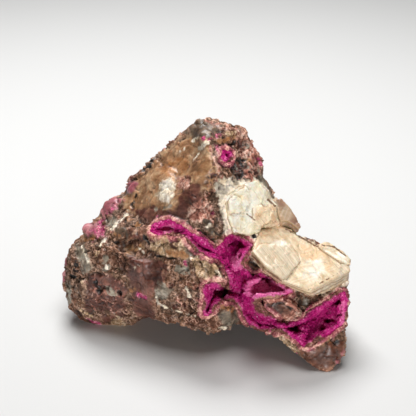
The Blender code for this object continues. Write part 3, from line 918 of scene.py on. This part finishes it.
def make_calcite(node, name, broken):
    face_way, line_way = (np.array(Vector(way).normalized()) for way in CLEAVAGE[node])
    across = np.cross(face_way, line_way)
    across /= np.linalg.norm(across)
    item = relax(even_skin(copy_of(node, name), CALCITE_VOXEL), CALCITE_SMOOTHING)
    places, normals = places_of(item), normals_of(item)
    sides = ramp(np.abs(normals @ face_way), SIDE_START, SIDE_FULL)
    warp = 0.5 * bumps(places, 6.0, 71) + 0.15 * bumps(places, 1.2, 72)
    layers = stack(places @ face_way + 0.4 * warp, LAYER, 1) - 0.5
    plates = stack(places @ across + 1.3 * warp, PLATE, 2)
    plates += 0.4 * stack(places @ across + warp, SPLINTER, 3)
    rise = sides * (0.55 * layers + 0.2 * bumps(places, 1.4, 73))
    rise += (1.0 - sides) * (0.3 * (plates - 0.7) + 0.3 * facets(places, 3.4, 74, 0.3)[0])
    rise += broken * (0.7 * facets(places, 4.5, 77, 0.5)[0] + 0.3 * facets(places, 1.9, 78, 0.4)[0])
    rise += 0.25 * bumps(places, 5.0, 75)
    rise = with_lip(rise, gap_to(places, "matrix"), CALCITE_LIP)
    move_to(item, places + normals * (CALCITE_SWELL + rise)[:, None])
    triangles_only(item)
    places, normals = places_of(item), normals_of(item)
    store(item, "across", places @ across + warp)
    store(item, "along", places @ line_way + warp)
    store(item, "layer", places @ face_way + 0.4 * warp)
    store(item, "side", ramp(np.abs(normals @ face_way), SIDE_START, SIDE_FULL))
    store(item, "pit", hollowness(item, PIT_SMOOTHING))
    seat = ramp(gap_to(places, "matrix") + 0.9 * bumps(places, 1.5, 76), 1.3, 0.2)
    store(item, "seat", seat * (1.0 - 0.9 * broken))
    shares = calcite_shares(places)
    clouded = ramp(bumps(places, 4.0, 79), -0.3, 0.2)
    shares["clear"] = (1.0 - shares["milky"]) * clouded * (1.0 - 0.8 * broken)
    for mark, share in shares.items():
        store(item, mark, share)
    item.data.polygons.foreach_set("use_smooth", [True] * len(item.data.polygons))
    return item


calcite_block_crystal = make_calcite("calcite_block", "calcite_block_crystal", 0.2)
calcite_shoulder_crystal = make_calcite("calcite_shoulder", "calcite_shoulder_crystal", 1.0)
calcite_fin_crystal = make_calcite("calcite_fin", "calcite_fin_crystal", 0.0)
calcite = [calcite_block_crystal, calcite_shoulder_crystal, calcite_fin_crystal]
print("calcite faces:", [len(item.data.polygons) for item in calcite])

# %% [markdown]
# ## Materials
#
# ### Matrix
#
# Every mineral has a dark, a middle and a light colour, and grain noise picks between them. The
# minerals are then laid over each other like glazes, each where its attribute says. The grain is about
# 0.7 mm, with coarser mottling of about 2 mm, as in the real rock.

# %% Laying one colour over another
def frayed_layer(tree, below, above, share, grain, amount):
    """Lays a colour over another where its share says so, with an edge that the grain breaks up."""
    shaken = add(tree, "ShaderNodeMath", {0: grain, 2: share}, {1: amount}, operation="MULTIPLY_ADD")
    laid = add(tree, "ShaderNodeMapRange", {"Value": shaken.outputs[0]},
               {"From Min": 0.2 + amount / 2, "From Max": 0.7 + amount / 2})
    mixed = add(tree, "ShaderNodeMix", {0: laid.outputs["Result"], 6: below, 7: above},
                data_type="RGBA")
    return mixed.outputs[2]


def weighed_sum(tree, parts, low, high):
    """Adds values up, each times its weight, and spreads the sum from low to high over 0 to 1."""
    (first, weight), *others = parts
    total = add(tree, "ShaderNodeMath", {0: first}, {1: weight}, operation="MULTIPLY").outputs[0]
    for value, weight in others:
        total = add(tree, "ShaderNodeMath", {0: value, 2: total}, {1: weight},
                    operation="MULTIPLY_ADD").outputs[0]
    spread = add(tree, "ShaderNodeMapRange", {"Value": total}, {"From Min": low, "From Max": high})
    return spread.outputs["Result"]


print(len(MINERALS), "minerals to lay over the plain matrix")

# %% Matrix material
MINERAL_COLOURS = {
    "matrix": ("#22120d", "#68412f", "#c49b80"),
    "honey": ("#64402a", "#aa7d58", "#e0bf9a"),
    "maroon": ("#2a130d", "#5e352b", "#976353"),
    "rose": ("#5e2a30", "#a05862", "#cc9090"),
    "salmon": ("#6a3a30", "#b57a68", "#ecccba"),
    "sugar": ("#665036", "#b89774", "#f2dfc0"),
    "grey": ("#443a30", "#8a7c6a", "#cfc4b2"),
    "glass": ("#4a2f1c", "#8e6442", "#bb9268"),
    "slate": ("#2c211a", "#5f4c3c", "#927c66"),
    "amber": ("#6a3d22", "#ab7346", "#d9aa80"),
    "cream": ("#c9b294", "#efe2ca", "#fdf8ec"),
    "rust": ("#260f09", "#59301f", "#8c5f4b"),
    "dark": ("#0b0908", "#1e1713", "#463830"),
    "magenta": ("#74173e", "#cc5080", "#f2a8bc"),
}
CLAST_TONES = ("#6c4236", "#8f6c52", "#7d6e5e", "#655038", "#8b5a4c")
# What the skin carries besides its minerals.
MARKS = ["clast", "crystal", "net", "cell", "pit", "dip", "fringe", "calm"]
# How wide each pattern's parts are, in millimetres. Threads are the walls between their cells.
GRAIN = 0.7
MOTTLE = 2.2
CLOUD = 6.5
STREAK = 3.0
STREAK_TILT = math.radians(40.0)
SPARKLE = 1.1
THREAD = 1.3
THREAD_BEND = 1.1
GRAIN_HEIGHT = 0.3


def rock_material():
    """Broken dolomite and calcite: dull in the grains, with glints where a cleavage face turns."""
    made, tree = new_material("broken_dolomite_rock")
    where = add(tree, "ShaderNodeTexCoord").outputs["Object"]
    grains = add(tree, "ShaderNodeTexNoise", {"Vector": where},
                 {"Scale": 1 / (GRAIN * MM), "Detail": 3.0, "Roughness": 0.6}).outputs
    wide = add(tree, "ShaderNodeTexNoise", {"Vector": where},
               {"Scale": 1 / (MOTTLE * MM), "Detail": 3.0, "Roughness": 0.55}).outputs
    broad = add(tree, "ShaderNodeTexNoise", {"Vector": where}, {"Scale": 1 / (CLOUD * MM)}).outputs
    drawn = add(tree, "ShaderNodeMapping", {"Vector": where},
                {"Rotation": (0.0, STREAK_TILT, 0.0), "Scale": (0.35, 1.0, 1.3)})
    streaks = add(tree, "ShaderNodeTexNoise", {"Vector": drawn.outputs["Vector"]},
                  {"Scale": 1 / (STREAK * MM), "Detail": 4.0, "Roughness": 0.6}).outputs
    cells = add(tree, "ShaderNodeTexVoronoi", {"Vector": where}, {"Scale": 1 / (SPARKLE * MM)})
    mark = add(tree, "ShaderNodeSeparateColor", {"Color": cells.outputs["Color"]}).outputs["Red"]
    marks = {name: add(tree, "ShaderNodeAttribute", attribute_name=name).outputs["Fac"]
             for name in MARKS + MINERALS}

    # Thin bright threads: the edges of small cells, bent by noise, but not on the glassy minerals.
    bend = THREAD_BEND * MM
    bent = add(tree, "ShaderNodeVectorMath", {0: wide["Color"], 2: where}, {1: (bend, bend, bend)},
               operation="MULTIPLY_ADD")
    walls = add(tree, "ShaderNodeTexVoronoi", {"Vector": bent.outputs["Vector"]},
                {"Scale": 1 / (THREAD * MM)}, feature="DISTANCE_TO_EDGE")
    thread = add(tree, "ShaderNodeMapRange", {"Value": walls.outputs["Distance"]},
                 {"From Min": 0.02, "From Max": 0.13, "To Min": 1.0, "To Max": 0.0}).outputs["Result"]
    rough = add(tree, "ShaderNodeMapRange", {"Value": marks["calm"]},
                {"From Min": 0.1, "From Max": 0.7, "To Min": 1.0, "To Max": 0.12}).outputs["Result"]
    patchy = add(tree, "ShaderNodeMapRange", {"Value": wide["Fac"]},
                 {"From Min": 0.4, "From Max": 0.6}).outputs["Result"]
    rough_thread = add(tree, "ShaderNodeMath", {0: thread, 1: rough}, operation="MULTIPLY").outputs[0]
    shown = add(tree, "ShaderNodeMath", {0: rough_thread, 1: patchy}, operation="MULTIPLY").outputs[0]

    # How light the stone is from place to place, in the rough and in the glassy minerals.
    lively = weighed_sum(tree, [(marks["clast"], 0.25), (marks["crystal"], 0.3), (grains["Fac"], 0.9),
                                (wide["Fac"], 0.9), (shown, 0.35)], 0.75, 1.65)
    calm = weighed_sum(tree, [(marks["clast"], 0.12), (grains["Fac"], 0.35), (streaks["Fac"], 1.0),
                              (broad["Fac"], 0.5)], 0.6, 1.3)
    tones = {}
    for mineral, codes in MINERAL_COLOURS.items():
        stops = [(place, linear(code)) for place, code in zip((0.05, 0.5, 0.95), codes)]
        tones[mineral] = add(tree, "ShaderNodeValToRGB", {"Fac": calm if mineral in CALM else lively},
                             stops=stops).outputs["Color"]

    kinds = add(tree, "ShaderNodeValToRGB", {"Fac": marks["clast"]},
                stops=[(place / 4, linear(code)) for place, code in enumerate(CLAST_TONES)])
    dimmed = add(tree, "ShaderNodeMapRange", {"Value": lively}, {"To Min": 0.3, "To Max": 1.6})
    kind = add(tree, "ShaderNodeVectorMath",
               {0: kinds.outputs["Color"], "Scale": dimmed.outputs["Result"]}, operation="SCALE")
    colour = add(tree, "ShaderNodeMix", {6: tones["matrix"], 7: kind.outputs["Vector"]}, {0: 0.4},
                 data_type="RGBA").outputs[2]
    for mineral in MINERALS:
        colour = frayed_layer(tree, colour, tones[mineral], marks[mineral], grains["Fac"], 0.8)
    colour = frayed_layer(tree, colour, tones["maroon"], marks["cell"], grains["Fac"], 0.3)
    colour = frayed_layer(tree, colour, tones["salmon"], marks["net"], grains["Fac"], 0.6)
    pale = add(tree, "ShaderNodeMath", {0: shown}, {1: 0.55}, operation="MULTIPLY").outputs[0]
    colour = add(tree, "ShaderNodeMix", {0: pale, 6: colour}, {7: linear("#d3ab98")},
                 data_type="RGBA").outputs[2]
    pink_edge = add(tree, "ShaderNodeValToRGB", {"Fac": lively},
                    stops=[(0.1, linear("#5a2230")), (0.5, linear("#a05a5e")), (0.9, linear("#dcae9e"))])
    fringe = add(tree, "ShaderNodeMath", {0: marks["fringe"]}, {1: 0.8}, operation="MULTIPLY").outputs[0]
    colour = frayed_layer(tree, colour, pink_edge.outputs["Color"], fringe, grains["Fac"], 0.9)

    # Painted shade and painted light: the colour darkens in pits and wide dips, where shade falls, and
    # lightens on sharp edges as a painted highlight.
    shade = add(tree, "ShaderNodeMapRange", {"Value": marks["pit"]},
                {"From Min": -0.25, "From Max": 0.3, "To Min": 1.3, "To Max": 0.4}).outputs["Result"]
    deep = add(tree, "ShaderNodeMapRange", {"Value": marks["dip"]},
               {"From Min": -0.5, "From Max": 0.6, "To Min": 1.1, "To Max": 0.7}).outputs["Result"]
    pit_and_dip_shade = add(tree, "ShaderNodeMath", {0: shade, 1: deep}, operation="MULTIPLY").outputs[0]
    shaded_colour = add(tree, "ShaderNodeVectorMath", {0: colour, "Scale": pit_and_dip_shade},
              operation="SCALE").outputs["Vector"]

    # One grain in eight turns a bright face to the light. Glassy minerals shine all over, softly.
    glint = add(tree, "ShaderNodeMapRange", {"Value": mark}, {"From Min": 0.86, "From Max": 0.9})
    shine = add(tree, "ShaderNodeMath", {0: glint.outputs["Result"], 1: marks["calm"]}, operation="MAXIMUM")
    gloss = add(tree, "ShaderNodeMapRange", {"Value": shine.outputs[0]}, {"To Min": 0.75, "To Max": 0.38})
    mirror = add(tree, "ShaderNodeMapRange", {"Value": shine.outputs[0]}, {"To Min": 0.15, "To Max": 0.45})
    inside = add(tree, "ShaderNodeMath", {0: marks["calm"]}, {1: 0.12}, operation="MULTIPLY")
    height = weighed_sum(tree, [(grains["Fac"], 1.0), (mark, 0.7), (rough_thread, 0.6)], 0.0, 2.3)
    depth = add(tree, "ShaderNodeMapRange", {"Value": rough}, {"To Min": 0.08, "To Max": 0.6})
    bump = add(tree, "ShaderNodeBump", {"Height": height, "Strength": depth.outputs["Result"]},
               {"Distance": GRAIN_HEIGHT * MM})
    shader = add(tree, "ShaderNodeBsdfPrincipled",
                 {"Base Color": shaded_colour, "Roughness": gloss.outputs["Result"], "Normal": bump.outputs["Normal"],
                  "Specular IOR Level": mirror.outputs["Result"], "Subsurface Weight": inside.outputs[0]},
                 {"IOR": 1.6, "Subsurface Scale": 1.2 * MM})
    add(tree, "ShaderNodeOutputMaterial", {"Surface": shader.outputs["BSDF"]})
    return made


rock = rock_material()
cover(matrix_rock, rock)
print("matrix material:", len(rock.node_tree.nodes), "nodes")

# %% [markdown]
# ### Pink dolomite
#
# Cobalt turns dolomite magenta. Thick clusters look dark and purple, thin edges and broken crystals
# pale, so the colour runs from deep purple in the pits to pale pink on the rim, and every crystal
# differs a little from the next. The pits are also painted darker, as painted shade, and some hollows
# paler, as painted light where the lamps hardly reach.

# %% Pink dolomite material
DRUSE_GRAIN = 0.5
DRUSE_MOTTLE = 2.8


def druse_material():
    """Cobalt-bearing dolomite crystals, as grown: small glassy faces that catch the light."""
    made, tree = new_material("cobalt_dolomite_crystals")
    where = add(tree, "ShaderNodeTexCoord").outputs["Object"]
    fine = add(tree, "ShaderNodeTexNoise", {"Vector": where},
               {"Scale": 1 / (DRUSE_GRAIN * MM), "Detail": 3.0}).outputs["Fac"]
    wide = add(tree, "ShaderNodeTexNoise", {"Vector": where},
               {"Scale": 1 / (DRUSE_MOTTLE * MM), "Detail": 2.0}).outputs["Fac"]
    marks = {label: add(tree, "ShaderNodeAttribute", attribute_name=label).outputs["Fac"]
             for label in ("tint", "pit", "rim", "bare", "pale")}
    bright = add(tree, "ShaderNodeMath", {0: fine, 1: wide}, operation="ADD").outputs[0]
    # Pits are painted darker, which is painted shade. The pale places are partly paler crystals and partly
    # painted light where the lamps hardly reach.
    for label, weight in (("pale", 0.5), ("tint", 0.3), ("pit", -0.9)):
        bright = add(tree, "ShaderNodeMath", {0: marks[label], 2: bright}, {1: weight},
                     operation="MULTIPLY_ADD").outputs[0]
    share = add(tree, "ShaderNodeMapRange", {"Value": bright},
                {"From Min": 0.6, "From Max": 1.6}).outputs["Result"]
    body = add(tree, "ShaderNodeValToRGB", {"Fac": share},
               stops=[(0.0, linear("#620038")), (0.35, linear("#b0106a")), (0.7, linear("#d42c8c")),
                      (1.0, linear("#ee78b4"))]).outputs["Color"]
    edge = add(tree, "ShaderNodeValToRGB", {"Fac": share},
               stops=[(0.0, linear("#6a1a3a")), (0.5, linear("#9a3660")), (1.0, linear("#cf7a9c"))])
    stone = add(tree, "ShaderNodeValToRGB", {"Fac": share},
                stops=[(0.0, linear("#2a120e")), (0.5, linear("#7a4a40")), (1.0, linear("#c4937f"))])
    pale = add(tree, "ShaderNodeMath", {0: marks["rim"]}, {1: 0.8}, operation="MULTIPLY").outputs[0]
    pink = add(tree, "ShaderNodeMix", {0: pale, 6: body, 7: edge.outputs["Color"]}, data_type="RGBA")
    colour = frayed_layer(tree, pink.outputs[2], stone.outputs["Color"], marks["bare"], fine, 0.4)
    glint = add(tree, "ShaderNodeMapRange", {"Value": marks["tint"]}, {"From Min": 0.85, "From Max": 0.95})
    mirror = add(tree, "ShaderNodeMapRange", {"Value": glint.outputs["Result"]},
                 {"To Min": 0.2, "To Max": 1.0})
    bump = add(tree, "ShaderNodeBump", {"Height": fine}, {"Strength": 0.4, "Distance": 0.15 * MM})
    shader = add(tree, "ShaderNodeBsdfPrincipled",
                 {"Base Color": colour, "Normal": bump.outputs["Normal"],
                  "Specular IOR Level": mirror.outputs["Result"]},
                 {"Roughness": 0.4, "IOR": 1.6})
    add(tree, "ShaderNodeOutputMaterial", {"Surface": shader.outputs["BSDF"]})
    return made


druse = druse_material()
for item in (pink_druse_crust, crown_druse_crust):
    cover(item, druse)
print("pink dolomite material:", len(druse.node_tree.nodes), "nodes")

# %% [markdown]
# ### Calcite
#
# Cream calcite is milky rather than painted: light goes a little way in and comes back out, which
# subsurface scattering gives. Iron gives it peach clouds. Fine lines follow the cleavage, and because
# the skin carries how far each point lies along and across it, they stay parallel on every face.

# %% Calcite material
CALCITE_CLOUD = 3.2
CALCITE_GRAIN = 0.6
CLOUD_COLOURS = {"milky": "#dccdb4", "peach": "#edc296", "bright": "#fffaec"}
# Brown lines on the calcite, one of them painted shade under the block's lower left edge, and a brown band
# where each crystal sits on the matrix.
BROWN_LINE_AND_SEAT_COLOURS = {"brown": "#7d5b40", "seat": "#b8987a"}
# How far apart the fine lines are in each direction, in millimetres.
LINE_SPACINGS = {"across": 0.6, "along": 0.9, "layer": 0.5}
# Bands of colour: the direction they change in, where they show, how strongly, and their colours.
BANDS = (("along", "clear", 0.45, ("#cfae86", "#e9d4b2", "#f8ecd6")),
         ("across", "milky", 0.6, ("#b09a7e", "#d2bfa2", "#eee0c8")),
         ("layer", "side", 0.9, ("#70543a", "#b59670", "#ead8b8")))


def calcite_material(name, dark, middle, light):
    """Cleaved calcite: waxy flat faces, hairline cracks along the cleavage, and clouds inside."""
    made, tree = new_material(name)
    where = add(tree, "ShaderNodeTexCoord").outputs["Object"]
    marks = {label: add(tree, "ShaderNodeAttribute", attribute_name=label).outputs["Fac"]
             for label in (*CALCITE_MARKS, *LINE_SPACINGS, "clear", "side", "seat", "pit")}
    clouds = add(tree, "ShaderNodeTexNoise", {"Vector": where},
                 {"Scale": 1 / (CALCITE_CLOUD * MM), "Detail": 5.0, "Roughness": 0.62}).outputs["Fac"]
    fine = add(tree, "ShaderNodeTexNoise", {"Vector": where},
               {"Scale": 1 / (CALCITE_GRAIN * MM), "Detail": 3.0}).outputs["Fac"]
    stops = [(0.32, linear(dark)), (0.5, linear(middle)), (0.68, linear(light))]
    colour = add(tree, "ShaderNodeValToRGB", {"Fac": clouds}, stops=stops).outputs["Color"]
    patch = add(tree, "ShaderNodeMapRange", {"Value": clouds}, {"From Min": 0.35, "From Max": 0.6})
    for label, code in CLOUD_COLOURS.items():
        part = add(tree, "ShaderNodeMath", {0: marks[label], 1: patch.outputs["Result"]},
                   operation="MULTIPLY").outputs[0]
        colour = add(tree, "ShaderNodeMix", {0: part, 6: colour}, {7: linear(code)},
                     data_type="RGBA").outputs[2]
    lines = {}
    for label, spacing in LINE_SPACINGS.items():
        along = add(tree, "ShaderNodeCombineXYZ", {"X": marks[label]})
        lines[label] = add(tree, "ShaderNodeTexNoise", {"Vector": along.outputs["Vector"]},
                           {"Scale": 1 / spacing, "Detail": 3.0, "Roughness": 0.8}).outputs["Fac"]
    streak = add(tree, "ShaderNodeMix",
                 {0: marks["side"], 2: lines["across"], 3: lines["layer"]}).outputs[0]
    groove = add(tree, "ShaderNodeMapRange", {"Value": streak},
                 {"From Min": 0.36, "From Max": 0.46, "To Min": 1.0, "To Max": 0.0}).outputs["Result"]
    faint = add(tree, "ShaderNodeMath", {0: groove, 1: fine}, operation="MULTIPLY").outputs[0]
    dull = add(tree, "ShaderNodeMath", {1: marks["bright"]}, {0: 1.0}, operation="SUBTRACT").outputs[0]
    faint = add(tree, "ShaderNodeMath", {0: faint, 1: dull}, operation="MULTIPLY").outputs[0]
    colour = add(tree, "ShaderNodeMix", {0: faint, 6: colour}, {7: linear("#b09068")},
                 data_type="RGBA").outputs[2]
    for label, place, most, codes in BANDS:
        band = add(tree, "ShaderNodeValToRGB", {"Fac": lines[label]},
                   stops=[(stop, linear(code)) for stop, code in zip((0.38, 0.5, 0.6), codes)])
        part = add(tree, "ShaderNodeMath", {0: marks[place]}, {1: most}, operation="MULTIPLY")
        colour = add(tree, "ShaderNodeMix", {0: part.outputs[0], 6: colour, 7: band.outputs["Color"]},
                     data_type="RGBA").outputs[2]
    for label, code in BROWN_LINE_AND_SEAT_COLOURS.items():
        frayed = add(tree, "ShaderNodeMath", {0: marks[label], 1: fine}, operation="ADD").outputs[0]
        toned = add(tree, "ShaderNodeMapRange", {"Value": frayed},
                      {"From Min": 0.9, "From Max": 1.35}).outputs["Result"]
        colour = add(tree, "ShaderNodeMix", {0: toned, 6: colour}, {7: linear(code)},
                     data_type="RGBA").outputs[2]
    # Painted shade in the pits, and a little painted light on the edges.
    shade = add(tree, "ShaderNodeMapRange", {"Value": marks["pit"]},
                {"From Min": -0.12, "From Max": 0.2, "To Min": 1.06, "To Max": 0.86}).outputs["Result"]
    shaded_colour = add(tree, "ShaderNodeVectorMath", {0: colour, "Scale": shade},
              operation="SCALE").outputs["Vector"]
    height = add(tree, "ShaderNodeMath", {0: streak, 1: fine}, operation="ADD").outputs[0]
    bump = add(tree, "ShaderNodeBump", {"Height": height}, {"Strength": 0.5, "Distance": 0.12 * MM})
    shader = add(tree, "ShaderNodeBsdfPrincipled",
                 {"Base Color": shaded_colour, "Normal": bump.outputs["Normal"]},
                 {"Roughness": 0.42, "IOR": 1.6, "Subsurface Weight": 0.15, "Subsurface Scale": 1.5 * MM})
    add(tree, "ShaderNodeOutputMaterial", {"Surface": shader.outputs["BSDF"]})
    return made


# The block split along its cleavage, so it is warm and waxy. The shoulder is crushed, and its many small
# faces look whiter. The blade behind it is worn smooth and stained tan.
cream_calcite = calcite_material("cleaved_cream_calcite", "#cfb08a", "#e6d0ae", "#f4e6cc")
white_calcite = calcite_material("fractured_white_calcite", "#f0dcb4", "#fff4da", "#fffdf2")
tan_calcite = calcite_material("smooth_tan_calcite", "#8a6855", "#a07c66", "#b8967f")
for item, material in zip(calcite, (cream_calcite, white_calcite, tan_calcite)):
    cover(item, material)
    print(f"{material.name}: {len(material.node_tree.nodes)} nodes")

# %% [markdown]
# ## Loose crystals
#
# Thousands of crystals would be tedious to place by hand, so Geometry Nodes scatter them. One crystal
# is a cube stood on its corner and squashed, which is the rhomb that dolomite grows as. The tree strews
# it over a skin, turns and sizes each copy at random, and makes the copies real. A rhomb has twelve
# triangles, so even thousands of them stay light.

# %% A tree that scatters rhombs
RHOMB_SQUASH = 0.8


def rhomb_tree():
    """Scatters rhombs on the faces of a mesh, as densely as one of the mesh's attributes says."""
    tree = bpy.data.node_groups.new("scatter_rhombs", "GeometryNodeTree")
    tree.interface.new_socket("Skin", in_out="INPUT", socket_type="NodeSocketGeometry")
    for label, kind in (("Dense attribute", "NodeSocketString"), ("Per square metre", "NodeSocketFloat"),
                        ("Smallest", "NodeSocketFloat"), ("Largest", "NodeSocketFloat"),
                        ("Lean", "NodeSocketFloat"), ("Finish", "NodeSocketMaterial")):
        tree.interface.new_socket(label, in_out="INPUT", socket_type=kind)
    tree.interface.new_socket("Rhombs", in_out="OUTPUT", socket_type="NodeSocketGeometry")
    given = add(tree, "NodeGroupInput").outputs
    cube = add(tree, "GeometryNodeMeshCube", values={"Size": (1.0, 1.0, 1.0)})
    corner_up = (math.radians(45.0), -math.atan(math.sqrt(0.5)), 0.0)
    stood = add(tree, "GeometryNodeTransform", {"Geometry": cube.outputs["Mesh"]}, {"Rotation": corner_up})
    rhomb = add(tree, "GeometryNodeTransform", {"Geometry": stood.outputs["Geometry"]},
                {"Scale": (1.0, 1.0, RHOMB_SQUASH)})
    dense = add(tree, "GeometryNodeInputNamedAttribute", {"Name": given["Dense attribute"]})
    density = add(tree, "ShaderNodeMath", {0: dense.outputs["Attribute"], 1: given["Per square metre"]},
                  operation="MULTIPLY")
    strewn = add(tree, "GeometryNodeDistributePointsOnFaces",
                 {"Mesh": given["Skin"], "Density": density.outputs[0]}, {"Seed": 7})
    back = add(tree, "ShaderNodeMath", {0: given["Lean"]}, {1: -1.0}, operation="MULTIPLY")
    low = add(tree, "ShaderNodeCombineXYZ", {"X": back.outputs[0], "Y": back.outputs[0]})
    high = add(tree, "ShaderNodeCombineXYZ", {"X": given["Lean"], "Y": given["Lean"]}, {"Z": 2 * math.pi})
    turn = add(tree, "FunctionNodeRandomValue", {0: low.outputs["Vector"], 1: high.outputs["Vector"]},
               {"Seed": 11}, data_type="FLOAT_VECTOR")
    euler = add(tree, "FunctionNodeEulerToRotation", {"Euler": turn.outputs[0]})
    turned = add(tree, "FunctionNodeRotateRotation",
                 {"Rotation": strewn.outputs["Rotation"], "Rotate By": euler.outputs["Rotation"]},
                 rotation_space="LOCAL")
    size = add(tree, "FunctionNodeRandomValue", {2: given["Smallest"], 3: given["Largest"]},
               {"Seed": 13}, data_type="FLOAT")
    placed = add(tree, "GeometryNodeInstanceOnPoints",
                 {"Points": strewn.outputs["Points"], "Instance": rhomb.outputs["Geometry"],
                  "Rotation": turned.outputs["Rotation"], "Scale": size.outputs[1]})
    tint = add(tree, "FunctionNodeRandomValue", values={"Seed": 17}, data_type="FLOAT")
    tinted = add(tree, "GeometryNodeStoreNamedAttribute",
                 {"Geometry": placed.outputs["Instances"], "Value": tint.outputs[1]}, {"Name": "tint"},
                 data_type="FLOAT", domain="INSTANCE")
    real = add(tree, "GeometryNodeRealizeInstances", {"Geometry": tinted.outputs["Geometry"]})
    finished = add(tree, "GeometryNodeSetMaterial",
                   {"Geometry": real.outputs["Geometry"], "Material": given["Finish"]})
    add(tree, "NodeGroupOutput", {"Rhombs": finished.outputs["Geometry"]})
    return tree


def scatter_rhombs(skin, name, **inputs):
    """A new object with rhombs scattered over this skin."""
    made = bpy.data.objects.new(name, skin.data.copy())
    bpy.context.scene.collection.objects.link(made)
    modifier = made.modifiers.new("rhombs", "NODES")
    modifier.node_group = rhombs
    for socket in rhombs.interface.items_tree:
        if socket.in_out == "INPUT" and socket.name in inputs:
            modifier[socket.identifier] = inputs[socket.name]
    return settle(made)


rhombs = rhomb_tree()
print("rhomb tree:", len(rhombs.nodes), "nodes")

# %% Rhombs on the crusts and on the matrix
DRUSE_RHOMBS = {"Dense attribute": "open", "Per square metre": 5.0e6, "Smallest": 0.2 * MM,
                "Largest": 0.5 * MM, "Lean": 0.9, "Finish": druse}
ROCK_RHOMBS = {"Dense attribute": "loose", "Per square metre": 1.6e6, "Smallest": 0.2 * MM,
               "Largest": 0.55 * MM, "Lean": 1.2, "Finish": rock}

pink_druse_crystals = scatter_rhombs(pink_druse_crust, "pink_druse_crystals", **DRUSE_RHOMBS)
crown_druse_crystals = scatter_rhombs(crown_druse_crust, "crown_druse_crystals", **DRUSE_RHOMBS)
matrix_crystals = scatter_rhombs(matrix_rock, "matrix_crystals", **ROCK_RHOMBS)
for item in (pink_druse_crystals, crown_druse_crystals, matrix_crystals):
    places = places_of(item)
    places[:, 2] = np.maximum(places[:, 2], 0.0)
    move_to(item, places)
    print(f"{item.name}: {len(item.data.polygons)} faces")

# %% [markdown]
# ## Putting it together
#
# Every piece is part of the one stone, so all of them ride on its only body. Each skin stands for the
# solid that it was made from.

# %% Bodies and sizes
PIECES = {
    "matrix": (matrix_rock, matrix_crystals),
    "pink_druse": (pink_druse_crust, pink_druse_crystals),
    "crown_druse": (crown_druse_crust, crown_druse_crystals),
    "calcite_block": (calcite_block_crystal,),
    "calcite_shoulder": (calcite_shoulder_crystal,),
    "calcite_fin": (calcite_fin_crystal,),
}
for node, pieces in PIECES.items():
    for piece in pieces:
        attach(piece, "root")
    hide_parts(node)

visual_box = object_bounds()
boxes = {"cad": [list(corner) for corner in cad_box], "visual": [list(corner) for corner in visual_box]}
for label, (low, high) in boxes.items():
    print(label, "box:", [round((b - a) / MM, 1) for a, b in zip(low, high)], "mm")
